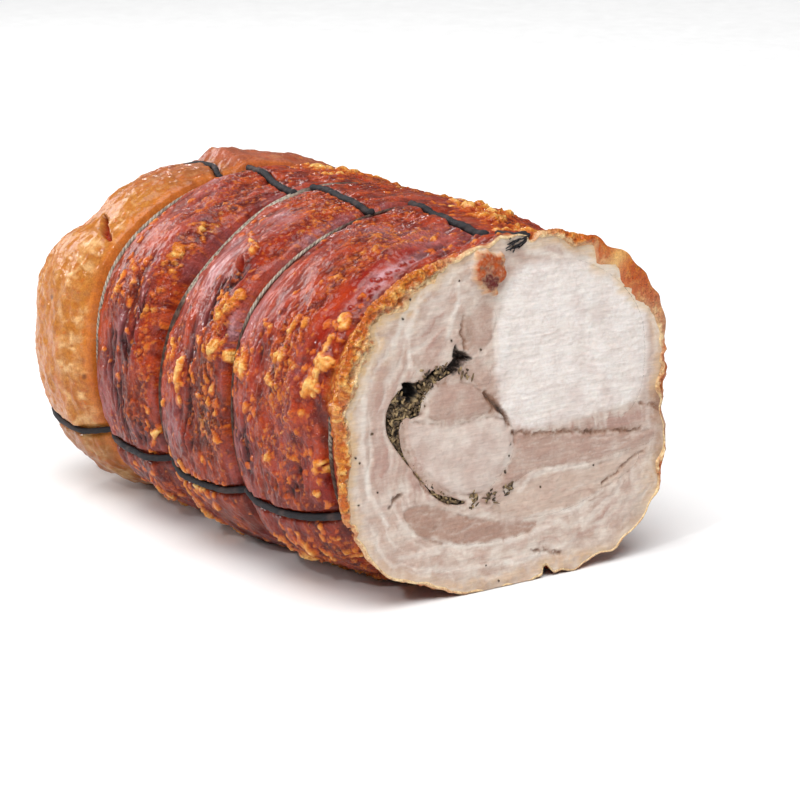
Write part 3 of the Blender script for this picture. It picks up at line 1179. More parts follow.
DARK_SEAMS = [
    [(-72.6, -32.9), (-69.3, -29.1), (-65.7, -27.9)], [(53, -42.3), (62, -38.8), (70, -33.4), (79, -29.8)],
    [(11.6, -69.3), (18.6, -69.9), (28.1, -72.9)], [(-30, 52), (-32, 43.6), (-29.6, 36.6)],
    [(-18, 13), (-14.5, 9.5), (-11.5, 6.5), (-7.5, 2), (-3, -4)], [(76, -5.5), (84, -7), (93, -12)],
    [(-1.3, -8), (8, -10.6), (18, -11.6), (28, -12.6), (39, -13.8), (50, -15.4), (60, -17), (69, -18),
     (77, -18.6)],
    [(-58, -19.5), (-52, -28), (-44, -34), (-36, -38.5)],
]
# The brown crevice between the two small muscles and the loin
CREVICE = [(-17.5, 12.5), (-12.5, 8), (-8, 3), (-4, -3)]
PINK_AREAS = [  # right of the axis, above it, half-width, half-height, amount
    (-76, -14, 5, 12, 0.9), (-58, -18, 5, 9, 0.7), (-78, 18, 6, 15, 0.8), (-48, 42, 9, 11, 0.55),
    (-40, 62, 12, 6, 0.35), (82, -2, 7, 12, 0.5), (84, 26, 4, 22, 0.4), (20, 76, 22, 3, 0.5),
    (64, -14, 16, 3, 0.5), (-27, 14, 4, 4, 0.3), (62, -12, 18, 3.5, 0.8), (5, -10, 7, 3, 0.5),
]
WARM_AREAS = [
    (-84, 50, 10, 18, 0.6), (-60, 72, 18, 5, 0.6), (-95, 10, 4, 24, 0.4), (60, 68, 16, 6, 0.5),
    (40, -77, 44, 3, 0.5), (-58, 55, 3, 5, 0.6), (-30, -79, 34, 3, 0.4), (82, -52, 8, 16, 0.35),
    (86, 40, 4, 18, 0.4),
]
BROWN_AREAS = [
    (94, 24, 3, 22, 0.7), (95, -8, 3, 12, 0.7), (88, -38, 4, 8, 0.4), (76, -60, 6, 8, 0.3),
    (-20, -82, 20, 3, 0.3), (-12, 6.5, 3, 4, 0.9), (-15, 9, 4, 3, 0.6), (62, -80, 16, 4, 0.4),
    (86, -1, 6, 4, 0.4), (-52, 26, 9, 2.5, 0.4), (-34, 27, 6, 5, 0.7), (-28, 44, 3, 9, 0.5),
    (-46, 24, 8, 3, 0.5), (22, -12.5, 20, 1.5, 0.4), (58, -16.5, 20, 1.6, 0.45), (88, -8, 5, 6, 0.8),
    (90, -26, 5, 14, 0.35), (90, 6, 4, 9, 0.35),
]
SPECKS = [
    (-33.5, 69.3), (-61.1, 64), (-52.8, 27.7), (-82.5, 3.6), (-20.7, 34.8), (-37.7, 41.4), (-82.1, 3.5),
    (-91.3, -6.6), (-89.2, -9.3), (-79.3, -25), (-3, -13.8), (-3.7, -19.4), (-5.9, -26.6), (-16.8, -71.7),
    (-9.1, -80.8), (-90, -29.3), (15.4, -37.9), (-5.8, -27.4), (47.8, -32.3), (-65, 55.3),
]
# Parts of the filling that lie open and dark: place, half-sizes, amount
OPEN_FILLING = [(-62.5, 22.5, 4.5, 3, 1), (-39, 26, 6, 3, 0.9), (-71, 3, 2.5, 5, 0.6), (-50, -30, 6, 2, 0.5)]
CURLED_RIND = (-17.5, 71.5, 9.5, 10.5, 3.4)  # a scrap of rind on the face: place, half-sizes, height


def areas(places, x, z):
    """Soft oval areas of the face added up, from 0 to 1."""
    total = np.zeros(len(x))
    for across, up, half_width, half_height, amount in places:
        total += amount * np.exp(-(((x - across) / half_width) ** 2) - ((z - up) / half_height) ** 2)
    return unit(total)


# The colours of these two run on into the meat round them
TINTED_OUTLINES = OUTLINES | {
    "loin": [
        (-12, 8), (-13.5, 30), (-12, 52), (-7, 66), (3, 73.5), (22, 75), (44, 71.5), (62, 64.5), (74.5, 56),
        (81, 42), (83, 22), (81.5, 4), (74, -4), (56, -7), (40, -8), (26, -10), (4, -9.5), (-7, -2),
    ],
    "belly_lean_inner": [
        (0, -10.5), (8, -12), (18, -13), (28, -14), (39, -15.2), (50, -16.8), (60, -18.4), (75, -20),
        (86, -20), (83, -26), (66, -28), (39, -30.5), (18, -28), (8, -29.5), (-4, -35), (-14, -40.4),
        (-20, -39.5), (-17, -36.3), (-6.5, -29.5), (-1, -19),
    ],
}
MUSCLE_LOOPS = {name: smooth_loop(corners, FACE_STEP) for name, corners in TINTED_OUTLINES.items()}


def back_surface(x, z):
    """Station of the back's meat, a low dome with roasted unevenness."""
    share = np.hypot(x, z) / (LIP_SHARE * HALF_HEIGHT)
    knots = 1.3 * rough_noise(x / 7, z / 7, 401) + 0.8 * rough_noise(x / 2.4, z / 2.4, 403)
    return np.maximum(MEAT_EDGE_STATION + MEAT_DOME * (1 - share**2), MEAT_EDGE_STATION - 1.5) + knots


def roasted(x, z):
    """Colour fields of the meat that roasted open at the back."""
    broad, crust, cracks = (rough_noise(x / size, z / size, 411 + k) for k, size in enumerate((15, 5, 7)))
    return {
        "brown": 0.75 + 0.25 * broad + 0.15 * crust, "amber": 0.35 * eased(broad + crust, -0.4, 0.8),
        "rust": 0.2 * eased(crust - 0.5 * broad, 0, 0.9), "black": 0.3 * faded(np.abs(cracks), 0, 0.08),
    }


# What each muscle is tinted
MUSCLE_TINTS = {
    "loin": {"white": 0.85}, "tenderloin": {"white": 0.25, "lean": 0.1, "pink": 0.15},
    "tenderloin_cap": {"lean": 0.6, "pink": 0.3}, "herb_filling": {"brown": 0.4},
    "side_muscle": {"lean": 0.7, "pink": 0.2}, "small_muscle": {"lean": 0.25, "pink": 0.2},
    "belly_lean_inner": {"lean": 0.7, "pink": 0.2}, "belly_lean_outer": {"peach": 0.9},
    "belly_lean_lower": {"lean": 0.95, "brown": 0.2},
}
# How deep the seam round a muscle is, where it isn't the usual depth
SEAM_DEPTH = 0.5
SEAM_DEPTHS = {
    "loin": 0.35, "tenderloin": 0.9, "tenderloin_cap": 0.8, "herb_filling": 0.9, "side_muscle": 0.8,
}
# The muscles whose fibres show
FIBROUS = ("loin", "belly_lean_inner", "belly_lean_outer", "belly_lean_lower")


def gap_depth(x, z):
    """How deep the gaps are at a point of the cut, and how dark."""
    place = np.stack([x, z], axis=1)
    fleck = 0.5 * rough_noise(x / 1.8, z / 1.8, 361)
    within = np.max([signed_distance(place, polyline([*gap, gap[0]])) for gap in GAPS], axis=0) + fleck
    return GAP_DEPTH * eased(within, -0.4, 1.3), eased(within, -0.7, 0.2)


def signed_distance(place, loop):
    """Distance to a closed loop, positive inside it."""
    return distance_to(place, loop) * np.where(inside(place, loop), 1, -1)


def muscle_tints(place, wave, fleck):
    """The muscles' own tints as fields, and how much each point is muscle, fibrous muscle and seam."""
    fields = {name: np.zeros(len(place)) for name, *_ in MEAT_TINTS}
    in_muscle, fibrous, seam = (np.zeros(len(place)) for _ in range(3))
    for name, tints in MUSCLE_TINTS.items():
        depth = signed_distance(place, MUSCLE_LOOPS[name])
        member = eased(depth + 1.1 * wave + 0.8 * fleck, -1.6, 5 if name == "loin" else 1.6)
        for tint, amount in tints.items():
            fields[tint] += amount * member * (0.88 + 0.2 * wave)
        in_muscle = np.maximum(in_muscle, member)
        if name in FIBROUS:
            fibrous = np.maximum(fibrous, member)
        seam = np.maximum(seam, SEAM_DEPTHS.get(name, SEAM_DEPTH) * np.exp(-((depth / 0.8) ** 2)))
    return fields, in_muscle, fibrous, seam * eased(fleck + 1.5 * wave, -0.5, 0.7)


def curled_rind(x, z, fleck, ragged, froth):
    """Relief and fields of the curled scrap of rind on the face, dark red in its core and golden round it."""
    x0, z0, half_width, half_height, height = CURLED_RIND
    off = np.hypot((x - x0) / half_width, (z - z0) / half_height) + 0.34 * ragged + 0.1 * fleck
    scrap, edge = faded(off, 0.85, 1.1), eased(off, 0.72, 1)
    core = faded(np.hypot((x - x0) / 1.3, z - z0 + 4.5) + 1.6 * fleck, 2.6, 5)
    crumpled = unit(froth * (1 - 0.5 * core) + 0.3 * (1 - off))
    browned = (0.5 + 0.5 * eased(froth + 0.3 * fleck, 0.25, 0.6)) * (1 - 0.7 * eased(froth, 0.68, 0.9))
    return scrap * (0.6 * height + 2.2 * crumpled), {
        "rust": scrap * unit(core + 0.5 * eased(-froth, -0.42, -0.2)) * (1 - edge),
        "amber": 1.3 * scrap * browned * (1 - 0.8 * core) * (1 - 0.5 * edge),
        "warm": 1.3 * scrap,
    }


def face_fields(x, z, rim):
    """Relief of the cut in millimetres towards the front, and the fields that colour it."""

    def rough(size, seed):
        return rough_noise(x / size, z / size, seed)

    place = np.stack([x, z], axis=1)
    wander = np.stack([rough(3.6, 217), rough(3.6, 219)], axis=1)
    to_rim = distance_to(place, rim)
    to_pale = distance_to(place, *map(polyline, PALE_SEAMS))
    to_dark = distance_to(place + 1.3 * wander, *map(polyline, DARK_SEAMS))
    to_speck = distance_to(place, np.array(SPECKS, float))
    to_crevice = distance_to(place, polyline(CREVICE))
    wave, fleck, cloud = rough(9, 201), rough(2.2, 205), rough(15, 209)
    degrees = np.degrees(np.arctan2(z, x))
    layers = rough_noise(way_round(degrees) / 24, (to_rim + 2 * wave) / 2.1, 221)
    strands = rough_noise(x / 13, (z + 1.6 * np.sin(x / 8) + 1.2 * wave) / 1.4, 331)
    fields, in_muscle, fibrous, seam = muscle_tints(place, wave, fleck)
    belly = 1 - in_muscle

    # Relief
    pale = faded(to_pale + 0.9 * fleck + 0.6 * wave, 0.3, 2.2) * 0.55
    dark_line = faded(to_dark + 0.9 * fleck, 0.3, 1.6) * eased(fleck + 0.6 * wave, -0.9, 0.1)
    crevice = faded(to_crevice + 1.3 * fleck + 0.8 * wave, 0.2, 2.3)
    gap, gap_dark = gap_depth(x, z)
    curl, curl_fields = curled_rind(x, z, fleck, rough(5, 213), 0.5 + 0.5 * rough(2.6, 211))
    relief = 0.5 * wave * (1 - 0.8 * fields["white"]) + 0.32 * layers * belly * eased(to_rim, 2, 6)
    relief = relief + 0.3 * fleck + 0.35 * strands * fibrous
    relief = relief + 0.35 * pale - 1.1 * dark_line - seam - gap - 1.3 * crevice + curl

    # Colour
    pink = areas(PINK_AREAS, x + 3 * wave, z + 3 * fleck)
    pink = pink + eased(layers, 0.1, 0.7) * 0.6 * eased(to_rim, 6, 16) * belly + eased(cloud, 0.2, 0.7) * 0.25
    fields["pink"] += unit(pink)
    fields["pink"] += 0.35 * eased(strands, 0.1, 0.7) * fibrous * (1 - fields["white"])
    golden_edge = faded(to_rim + 3 * strands, 0.5, 6) * (0.2 + 0.5 * rim_puff(degrees))
    warm = areas(WARM_AREAS, x + 3 * wave, z + 2 * fleck)
    fields["warm"] += unit(warm * eased(fleck + strands, -0.6, 0.5) + golden_edge)
    streaks = 0.4 * eased(-strands, 0.2, 0.8) * fibrous
    fields["pale"] += pale + eased(-layers, 0.1, 0.6) * 0.45 * belly + streaks
    brown = areas(BROWN_AREAS, x + 1.5 * fleck, z + 1.5 * fleck)
    fields["brown"] += 0.25 * eased(strands, 0.3, 0.9) * fields["peach"]
    fields["brown"] += dark_line * 0.9 + 0.9 * crevice + brown
    lean_streaks = 0.25 * eased(strands, 0.35, 0.8) * fields["lean"]
    fields["brown"] += eased(fleck, 0.5, 0.9) * 0.2 + 0.5 * seam + lean_streaks
    fields["black"] += faded(to_speck, 0.3, 0.7) * 0.9 + dark_line * eased(wave, 0, 0.5) * 0.5 + gap_dark
    fields["black"] += 0.4 * faded(to_crevice + 0.5 * fleck, 0.1, 1.3)
    for name, values in curl_fields.items():
        fields[name] += values
    return relief, {name: unit(values) for name, values in fields.items()}


def filling_fields(x, z):
    """Relief and colour fields of the herb filling."""
    fleck = rough_noise(x / 1.9, z / 1.9, 305)
    lump, _ = beads(x + 0.6 * fleck, z, 2.6, 2, 321, 0.9)
    gap = areas(OPEN_FILLING, x, z)
    hole, hole_dark = gap_depth(x, z)
    relief = -0.9 + 2 * lump + 1.1 * fleck - 3 * eased(gap, 0.35, 0.8) - hole
    pale = eased(lump, 0.35, 0.7) * (soft_noise(x / 2.3, z / 2.3, 323) > 0.1)
    black = eased(gap, 0.2, 0.5) + eased(-fleck, 0, 0.5) * 0.8 + hole_dark
    return relief, {"pale": pale, "black": unit(black)}


def core_loop(loop, station):
    """A muscle's outline on the cut carried back to a station, where it is smaller."""
    return in_frame(*(loop * np.interp(station, CORE_STATIONS, CORE_SCALES)).T, station)


# How far a muscle laps over the belly, how deep its edge lies there, and how far it laps over the filling
OVERLAP = 0.9
SUNK_EDGE = 0.07
OVER_FILLING = {"tenderloin": 3.6, "tenderloin_cap": 3.4}


def facing_left(loop):
    """How far each point of an anticlockwise loop faces left, from 0 to 1, softly."""
    along = np.roll(loop, -4, axis=0) - np.roll(loop, 4, axis=0)
    share = along[:, 1] / np.maximum(np.linalg.norm(along, axis=1), 1e-9)
    return eased(-share, 0.1, 0.8)[:, None]


def muscle_piece(name, look, rim):
    """A muscle or the filling: its relief at the cut, its walls through the roll, and its end at the back."""
    is_meat = name != "herb_filling"
    outline = smooth_loop(OUTLINES[name], FACE_STEP)
    if is_meat:
        ragged = rough_noise(outline[:, 0] / 3, outline[:, 1] / 3, 351)[:, None]
        outline = grown(outline, OVERLAP + 0.4 * ragged + OVER_FILLING.get(name, 0) * facing_left(outline))
    flat, faces = filled(outline, [], FACE_STEP, 7)
    if is_meat:
        relief, fields = face_fields(*flat.T, rim)
        inner = eased(distance_to(flat, outline), OVERLAP, OVERLAP + 5)
        relief = relief - SUNK_EDGE + (SUNK_EDGE + PROUD.get(name, 0)) * inner
        lift = (SUNK_EDGE + 0.3) * inner - SUNK_EDGE
    else:
        relief, fields = filling_fields(*flat.T)
        relief = relief + PROUD[name]
        lift = 0.4 * relief - 0.2
    back_x, back_z = (flat * CORE_SCALES[-1]).T
    front = in_frame(*flat.T, -relief)
    back = in_frame(back_x, back_z, back_surface(back_x, back_z) + lift)
    count, ring_count = len(flat), len(outline)
    rings = [front[:ring_count], *(core_loop(outline, station) for station in CORE_STATIONS[1:])]
    starts = [count + number * ring_count for number in range(len(rings) + 1)]
    points = np.concatenate([front, *rings, back])
    faces = np.concatenate([faces, walls(starts, ring_count), faces[:, ::-1] + starts[-1]])
    between = np.zeros(len(rings) * ring_count)
    fields = {key: np.concatenate([value, between, value]) for key, value in fields.items()}
    if is_meat:
        for key in ("white", "pale"):
            fields[key][-count:] *= 0.35
    for key, values in roasted(back_x, back_z).items():
        if key in fields:
            fields[key][-count:] = unit(np.maximum(fields[key][-count:], values))
    make_piece("cut_" + name, points, faces, look, [name], fields)


def belly_piece(rim, back_rim, look):
    """The belly round the muscles, at the cut and at the back, with the channels the muscles lie in."""
    loops = [grown(smooth_loop(corners, FACE_STEP), 0.3) for corners in OUTLINES.values()]
    flat, faces = filled(rim, loops, FACE_STEP, 11)
    relief, fields = face_fields(*flat.T, rim)
    front = in_frame(*flat.T, -relief * eased(distance_to(flat, rim), 0, 2))
    back_flat, back_faces = filled(back_rim, [loop * CORE_SCALES[-1] for loop in loops], BACK_STEP, 13)
    x, z = back_flat.T
    inward = eased(distance_to(back_flat, back_rim), 0, 3)
    back = in_frame(x, z, mix(MEAT_EDGE_STATION - 1, back_surface(x, z), inward))
    points, faces = [front, back], [faces, back_faces[:, ::-1] + len(front)]
    total = len(front) + len(back)
    start, back_start = len(rim), len(front) + len(back_rim)
    for loop in loops:
        count = len(loop)
        rings = [front[start:start + count], *(core_loop(loop, station) for station in CORE_STATIONS[1:])]
        starts = [*(total + number * count for number in range(len(rings))), back_start]
        faces.append(walls(starts, count, inward=True))
        points += rings
        total += count * len(rings)
        start, back_start = start + count, back_start + count
    browned, between = roasted(x, z), np.zeros(total - len(front) - len(back))
    for key, values in fields.items():
        at_back = unit(browned.get(key, np.zeros(len(back))))
        fields[key] = np.concatenate([values, at_back, between + 0.8 * (key == "black")])
    points, faces = np.concatenate(points), np.concatenate(faces)
    make_piece("cut_belly", points, faces, look, ["rolled_belly"], fields)


# ---------------------------------------------------------------- twine

TWINE_SIDES, STRANDS, TWIST_PITCH = 12, 3, 8
HOOP_THICKNESS = [1.2, 0.95, 2, 1.25]
HOOP_DIRT = [1, 1, 0.2, 0.6]
FLAT_HOOP = 2  # this one is two strands side by side
# Where each hoop stayed pale on the browned side: the middle of the stretch and its half-length, in degrees
PALE_STRETCHES = [(180, 0), (137, 14), (122, 28), (135, 48)]
STRING_TIP = 2.6  # the station where the strings end at the cut


def ring_turns(sides):
    """The angles of a tube's sides, in radians."""
    return np.linspace(0, 2 * np.pi, sides + 1)[:-1]


def tube(path, outward, radius, closed=False):
    """Points and triangles of a tube. radius has a row for each point of the path, a column for each side."""
    ahead = np.roll(path, -1, axis=0) - np.roll(path, 1, axis=0) if closed else np.gradient(path, axis=0)
    ahead = ahead / np.linalg.norm(ahead, axis=1, keepdims=True)
    aside = np.cross(ahead, outward)
    aside /= np.linalg.norm(aside, axis=1, keepdims=True)
    lift = np.cross(aside, ahead)
    sides = radius.shape[1]
    turns = ring_turns(sides)[None, :, None]
    ring = np.cos(turns) * aside[:, None, :] + np.sin(turns) * lift[:, None, :]
    points = (path[:, None, :] + ring * radius[..., None] * MM).reshape(-1, 3)
    faces = triangles(band_faces(len(path), sides, closed_rows=closed))
    if closed:
        return points, faces
    i = np.arange(sides)
    j = (i + 1) % sides
    end = (len(path) - 1) * sides
    first, last = np.full(sides, len(points)), np.full(sides, len(points) + 1)
    caps = [np.stack([i, j, first], axis=1), np.stack([end + j, end + i, last], axis=1)]
    return np.concatenate([points, path[:1], path[-1:]]), np.concatenate([faces, *caps])


def run_of(path):
    """Millimetres along a path to each of its points."""
    return np.concatenate([[0], np.cumsum(np.linalg.norm(np.diff(path, axis=0), axis=1))]) / MM


def laid(degrees, radius, station):
    """A path over the roll, and the outward direction at each of its points."""
    path = around(degrees, radius, station)
    return path, around(degrees, radius + 1, station) - path


def twisted(length, thickness, pitch, seed):
    """Radii of twisted twine, and the field that marks the valleys between its strands."""
    turns = ring_turns(TWINE_SIDES)[None, :]
    lobe = np.abs(np.cos(STRANDS * (turns - 2 * np.pi * length[:, None] / pitch) / 2))
    uneven = 1 + 0.08 * rough_noise(length[:, None] / 3, turns * 1.5, seed)
    return thickness * (1 - 0.2 * (1 - lobe)) * uneven, faded(lobe, 0.15, 0.6)


def two_strands(radii, valley, thickness, round_way):
    """Radii and valleys of twisted twine changed to two strands side by side."""
    between = faded(np.abs(np.cos(ring_turns(TWINE_SIDES))), 0.05, 0.6)[None, :]
    radii = thickness * (1 - 0.5 * between) * (0.75 + 0.25 * radii / thickness)
    return radii, unit(0.5 * valley + between * eased(np.sin(round_way / 0.55), -0.2, 0.6)[:, None])


def hoop_stain(number, degrees, round_way):
    """How soiled or charred a hoop is round its way, from 0 to 1."""
    near_top = bell(degrees, string_angle("top", HOOPS[number] - 1), 7)
    charred = near_top + bell(degrees, SIDE_STRINGS["left"], 14) + bell(degrees, SIDE_STRINGS["bottom"], 30)
    patchy = eased(rough_noise(degrees / 6, degrees * 0, 520 + number), 0.05, 0.6) * 0.7
    low_left = eased(wrapped(degrees - 165), 0, 30) * (wrapped(degrees - 165) < 120)
    dashes = eased(rough_noise(degrees / 1.6, degrees * 0, 530 + number), 0, 0.3) * 0.6
    stained = np.clip(0.85 * charred + 0.35 * low_left + (0.7 * patchy + dashes) * HOOP_DIRT[number], 0, 0.9)
    middle, half_length = PALE_STRETCHES[number]
    soiled = eased(np.abs(wrapped(degrees - middle)), half_length, half_length + 9)
    browned_side = faded(np.abs(wrapped(degrees - SHOWN_ANGLE)), 62, 78)
    return np.maximum(stained, (0.92 + 0.06 * np.sin(round_way)) * soiled * browned_side)


def hoop_piece(number, look):
    """A hoop of twine round the roll, with a whole number of twists."""
    degrees = np.arange(-180, 180, 0.42)
    round_way = (degrees + 180) * MM_PER_DEGREE
    sway = 0.5 * rough_noise(degrees / 14, degrees * 0, 500 + number)
    path, outward = laid(degrees, hoop_radius(degrees, number), HOOPS[number] + sway)
    thickness = HOOP_THICKNESS[number]
    pitch = 360 * MM_PER_DEGREE / round(round_way[-1] / TWIST_PITCH)
    radii, valley = twisted(round_way, thickness, pitch, 510 + number)
    if number == FLAT_HOOP:
        radii, valley = two_strands(radii, valley, thickness, round_way)
    points, faces = tube(path, outward, radii, closed=True)
    stained = np.repeat(hoop_stain(number, degrees, round_way), TWINE_SIDES)
    fields = {"valley": valley.ravel(), "stained": stained}
    make_piece(f"twine_hoop_{number + 1}", points, faces, look, [f"hoop_{number + 1}"], fields)


def string_radius(degrees, station):
    return off_the_floor(degrees, skin_radius(degrees, station) - STRING_SINK)


def charred_piece(name, path, outward, thickness, node, look, seed):
    """A string roasted black, a little frayed and uneven."""
    length = run_of(path)
    turns = ring_turns(TWINE_SIDES)[None, :]
    lobe = np.abs(np.cos(turns - 2 * np.pi * length[:, None] / 14))
    uneven = 0.12 * rough_noise(length[:, None] / 2, turns * 1.3, seed)
    taper = 1 - 0.75 * (1 - ramp(np.minimum(length, length[-1] - length), 0, 1.6)) ** 2
    radii = np.asarray(thickness)[:, None] * (0.9 + 0.1 * lobe + uneven) * taper[:, None]
    points, faces = tube(path, outward, radii)
    patchy = eased(rough_noise(length / 7, 0 * length, seed + 1), 0.2, 0.7) * 0.5
    caps = np.zeros(2)
    fields = {
        "valley": np.concatenate([faded(lobe, 0.05, 0.35).ravel() * 0.5, caps]),
        "stained": np.concatenate([np.repeat(patchy, TWINE_SIDES), caps]),
    }
    make_piece(name, points, faces, look, [node], fields)


def over_hoop(radius, degrees, station, number):
    """A string's radius where it is tucked over a hoop."""
    over = hoop_radius(degrees, number) + 1.3
    return mix(radius, np.maximum(over, radius), faded(np.abs(station - HOOPS[number]), 1, 5))


def string_span(side, number, look):
    """A lengthwise string over one stretch, tucked over the hoop at each end."""
    start, first = (HOOPS[number - 1] - 1, HOOPS[number - 1] + 0.3) if number else (STRING_TIP, 0)
    end = HOOPS[number] + 1
    station = np.linspace(start, end, int((end - start) / 0.8))
    inner = np.clip(station, first, HOOPS[number] - 0.3)
    degrees = string_angle(side, inner)
    radius = string_radius(degrees, inner)
    radius = radius + COVER_HEIGHT * hoop_cover(degrees) * np.exp(-(((station - HOOPS[0]) / 6) ** 2))
    for hoop in range(max(number - 1, 0), number + 1):
        radius = over_hoop(radius, degrees, station, hoop)
    path, outward = laid(degrees, off_the_floor(degrees, radius), station)
    thickness = np.interp(station, [0, 60, LENGTH], [1.95, 1.75, 1.6]) + (0.3 if side == "top" else 0)
    place, seed = f"{side}_{number + 1}", 600 + 10 * number + len(side)
    charred_piece("charred_" + place, path, outward, thickness, "string_" + place, look, seed)


def half_way_over(side):
    """Path and outward directions of a string from the last hoop over the shoulder to its lip."""
    station = np.linspace(HOOPS[-1] - 0.8, SHOULDER_START - 1, 24)
    inner = np.maximum(station, HOOPS[-1] + 0.3)
    degrees = string_angle(side, inner)
    radius = over_hoop(string_radius(degrees, inner), degrees, station, len(HOOPS) - 1)
    first_path, first_outward = laid(degrees, off_the_floor(degrees, radius), station)
    path, outward = [first_path], [first_outward / MM]
    at = np.atleast_1d(string_angle(side, SHOULDER_START)).astype(float)
    radial = np.array([[np.cos(np.radians(at[0])), 0, np.sin(np.radians(at[0]))]])
    for station, share, lean, _ in shoulder_rows()[::6]:
        skin = skin_radius(at, np.array([min(station, RELIEF_END)])) * share
        radius = off_the_floor(at, skin - STRING_SINK * np.cos(lean))
        path.append(around(at, radius, station + np.sin(lean) * end_reach(at) - STRING_SINK * np.sin(lean)))
        outward.append(radial * np.cos(lean) + np.array([[0, np.sin(lean), 0]]))
    return np.concatenate(path), np.concatenate(outward)


def back_string(name, first, last, lift, look, seed):
    """Two lengthwise strings carried over the back end until they meet."""
    there, there_out = half_way_over(first)
    back, back_out = half_way_over(last)
    share = np.linspace(0, 1, 60)[1:-1, None]
    across = mix(there[-1], back[-1], share)
    across[:, 1] += lift * MM * eased(np.minimum(share, 1 - share)[:, 0], 0, 0.35)
    path = np.concatenate([there, across, back[::-1]])
    outward = np.concatenate([there_out, np.broadcast_to([0, 1, 0], across.shape), back_out[::-1]])
    charred_piece(name.replace("string", "charred"), path, outward, np.full(len(path), 1.6), name, look, seed)


def frayed_end(look):
    """The cut end of the top string: a tuft of charred threads at the edge of the face."""
    rng = np.random.default_rng(31)
    parts = []
    angle, station = np.array([TOP_SPANS[0][0]]), np.array([STRING_TIP])
    root = around(angle, string_radius(angle, station), station)[0]
    t = np.linspace(0, 1, 12)[:, None]
    radius = np.repeat(0.75 - 0.5 * t, 6, axis=1)
    for _ in range(20):
        lean = rng.normal(0, 1, 3) * [4, 0.8, 2] + [-12, -3.8, -3.6]
        bend = rng.normal(0, 1, 3) * 1.2
        path = root + (lean * t + bend * np.sin(np.pi * t)) * MM
        parts.append(tube(path, np.tile([0, 0.3, 1], (len(t), 1)), radius))
    points, faces = joined(parts)
    fields = {"valley": np.zeros(len(points)), "stained": np.zeros(len(points))}
    make_piece("frayed_string_end", points, faces, look, [], fields)


# ---------------------------------------------------------------- herbs

# The corners of a bit of leaf, in half-lengths and half-widths
LEAF = [(-1, 0), (-0.3, 0.9), (0.6, 0.7), (1, 0), (0.5, -0.8), (-0.4, -0.8)]
PEPPERCORN_SIZE = [0.55, 0.5]


def leaf_bit(x, z, corners, turn, tilt, sunk):
    """Points and triangles of one flat bit of leaf, from its corners, with a raised middle."""
    c, s = np.cos(turn), np.sin(turn)
    across, up = corners[:, 0] * c - corners[:, 1] * s, corners[:, 0] * s + corners[:, 1] * c
    depth = tilt * corners[:, 0] * 0.6
    front = in_frame(x + across, z + up, sunk + depth - 0.25)
    back = in_frame(x + across * 0.9, z + up * 0.9, sunk + depth + 0.35)
    crown = in_frame(np.array([x]), np.array([z]), np.array([sunk - 0.5]))
    i = np.arange(6)
    j = (i + 1) % 6
    fan = np.stack([i, j, np.full(6, 12)], axis=1)
    wall = triangles(np.stack([i, i + 6, j + 6, j], axis=1))
    under = np.array([[11, 10, 9], [11, 9, 8], [11, 8, 7], [11, 7, 6]])
    return np.concatenate([front, back, crown]), np.concatenate([fan, wall, under])


def herb_flecks(look):
    """Chopped leaves and peppercorn bits on the filling and along its seams."""
    rng = np.random.default_rng(5)
    spots = rng.uniform([-76, -40], [-26, 29], (2600, 2))
    spots = spots[inside(spots, smooth_loop(OUTLINES["herb_filling"], 1))][:520]
    spots = spots[~np.any([inside(spots, grown(smooth_loop(gap, 0.5), 0.6)) for gap in GAPS], axis=0)]
    on_filling = len(spots)
    seam = np.array([(-25, -37), (-14, -39), (-3, -35), (-52, 24), (-44, 28), (-30, 24)], float)
    strewn = seam[rng.integers(0, len(seam), 90)] + rng.normal(0, 2.2, (90, 2))
    spots = np.concatenate([spots, strewn, np.array(SPECKS, float)])
    parts, pale = [], []
    for index, (x, z) in enumerate(spots):
        peppercorn = index >= on_filling + len(strewn)
        size = [rng.uniform(0.7, 2.1), rng.uniform(0.35, 0.75)]
        turn, tilt = rng.uniform(0, 2 * np.pi), rng.uniform(-0.7, 0.7)
        corners = np.array(LEAF) * (PEPPERCORN_SIZE if peppercorn else size) * rng.uniform(0.75, 1.25, (6, 2))
        sunk = 0.6 + rng.uniform(0, 0.8) if index < on_filling else -0.1
        parts.append(leaf_bit(x, z, corners, turn, tilt, sunk))
        share = 0 if peppercorn else rng.choice([0, 0.3, 0.85], p=[0.45, 0.3, 0.25])
        pale.append(np.full(len(parts[-1][0]), share))
    points, faces = joined(parts)
    fields = {"pale": np.concatenate(pale), "black": np.zeros(len(points))}
    make_piece("herb_flecks", points, faces, look, [], fields)


# ---------------------------------------------------------------- the whole

rind = rind_look()
pork = meat_look()
herbs = herb_look()
twine = twine_look("twine", screen(140, 126, 110), screen(208, 197, 180), screen(72, 42, 34))
charred = twine_look("charred_twine", screen(22, 22, 24), screen(52, 50, 54), screen(92, 74, 70))

face_loop = front_piece(rind)
for bay in (1, 2, 3):
    rind_piece(f"rind_bay_{bay}", side_rows(HOOPS[bay - 1], HOOPS[bay]), rind)
end_rows = side_rows(HOOPS[-1], SHOULDER_START)[:-1] + shoulder_rows()
end_points = rind_piece("rind_end", end_rows, rind, lip=True)
back_loop = end_points[-1][::4][:, [0, 2]] / MM - [AXIS_X, AXIS_HEIGHT]

belly_piece(face_loop, back_loop, pork)
MUSCLE_SLOTS = {
    "loin": "pale_meat", "tenderloin": "pale_meat", "tenderloin_cap": "pink_meat", "side_muscle": "pink_meat",
    "small_muscle": "pink_meat", "belly_lean_inner": "pink_meat", "belly_lean_outer": "pink_meat",
    "belly_lean_lower": "pink_meat",
}
for muscle, meat_slot in MUSCLE_SLOTS.items():
    muscle_piece(muscle, pork, face_loop)
muscle_piece("herb_filling", herbs, face_loop)
herb_flecks(herbs)

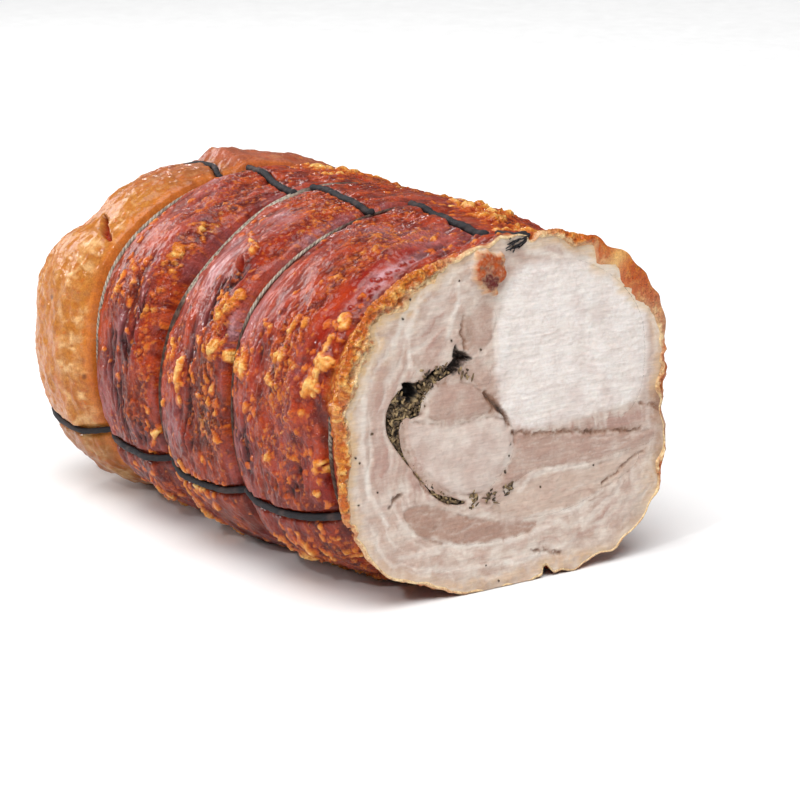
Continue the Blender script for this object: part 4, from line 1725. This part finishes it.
for hoop_number in range(len(HOOPS)):
    hoop_piece(hoop_number, twine)
    for string_side in (*SIDE_STRINGS, "top"):
        if hoop_number or string_side != "left":
            string_span(string_side, hoop_number, charred)
back_string("string_back_under", "top", "bottom", 0, charred, 701)
back_string("string_back_over", "left", "right", 2 * TWINE_RADIUS, charred, 702)
frayed_end(charred)


# ---------------------------------------------------------------- floor, light, camera

FLOOR_HALF, FLOOR_STEPS, FLOOR_DROP = 9, 40, 0.0004  # metres


def make_floor():
    steps = np.linspace(-FLOOR_HALF, FLOOR_HALF, FLOOR_STEPS)
    x, y = np.meshgrid(steps, steps)
    points = np.stack([x.ravel(), y.ravel(), np.full(x.size, -FLOOR_DROP)], axis=1)
    faces = band_faces(FLOOR_STEPS, FLOOR_STEPS, closed_columns=False)[:, ::-1]
    look = Look("pale_floor", IOR=1.45, Specular_IOR_Level=0.3)
    shade = look.span(look.speckle(60, detail=2), 0.3, 0.7, 0.93, 0.96)
    look.set("Base Color", look.grey(shade))
    look.set("Roughness", look.span(look.speckle(20), 0.3, 0.7, 0.32, 0.4))
    mesh = bpy.data.meshes.new("floor")
    mesh.from_pydata(points.tolist(), [], faces.tolist())
    mesh.materials.append(look.material)
    floor = bpy.data.objects.new("floor", mesh)
    bpy.context.scene.collection.objects.link(floor)


def aimed(name, data, place, target):
    made = bpy.data.objects.new(name, data)
    bpy.context.scene.collection.objects.link(made)
    made.location = place
    made.rotation_euler = (Vector(target) - Vector(place)).to_track_quat("-Z", "Y").to_euler()
    return made


def softbox(name, place, size, watts):
    lamp = bpy.data.lights.new(name, "AREA")
    lamp.shape = "SQUARE"
    lamp.size = size
    lamp.energy = watts
    aimed(name, lamp, place, (0, 0, AXIS_HEIGHT * MM))


def make_light():
    world = bpy.data.worlds.new("studio")
    world.use_nodes = True
    background = world.node_tree.nodes["Background"]
    background.inputs["Color"].default_value = (1, 1, 1, 1)
    background.inputs["Strength"].default_value = 0.17
    bpy.context.scene.world = world
    sun = bpy.data.lights.new("window", "SUN")
    sun.energy = 3.4
    sun.angle = 0.9
    aimed("window", sun, (-0.25, -0.35, 1), (0, 0, 0))
    softbox("left_box", (-1.1, -0.6, 0.95), 0.1, 4.4)
    softbox("side_box", (-1, 1.2, 0.55), 0.3, 6)
    softbox("top_box", (0.7, 1.6, 1.05), 0.16, 2.2)
    softbox("back_box", (-0.35, 1.7, 0.85), 0.9, 14)


def make_camera():
    data = bpy.data.cameras.new("camera")
    data.sensor_width = 36
    data.lens = 128.25
    data.clip_start, data.clip_end = 0.05, 30
    place = Vector((-0.7888, -1.0423 + FRONT * MM, 0.4300))
    azimuth, pitch = np.radians(34.79), np.radians(14.52)
    ahead = Vector((np.sin(azimuth) * np.cos(pitch), np.cos(azimuth) * np.cos(pitch), -np.sin(pitch)))
    bpy.context.scene.camera = aimed("camera", data, place, place + ahead)


make_floor()
make_light()
make_camera()
bpy.context.scene.view_settings.view_transform = "Standard"
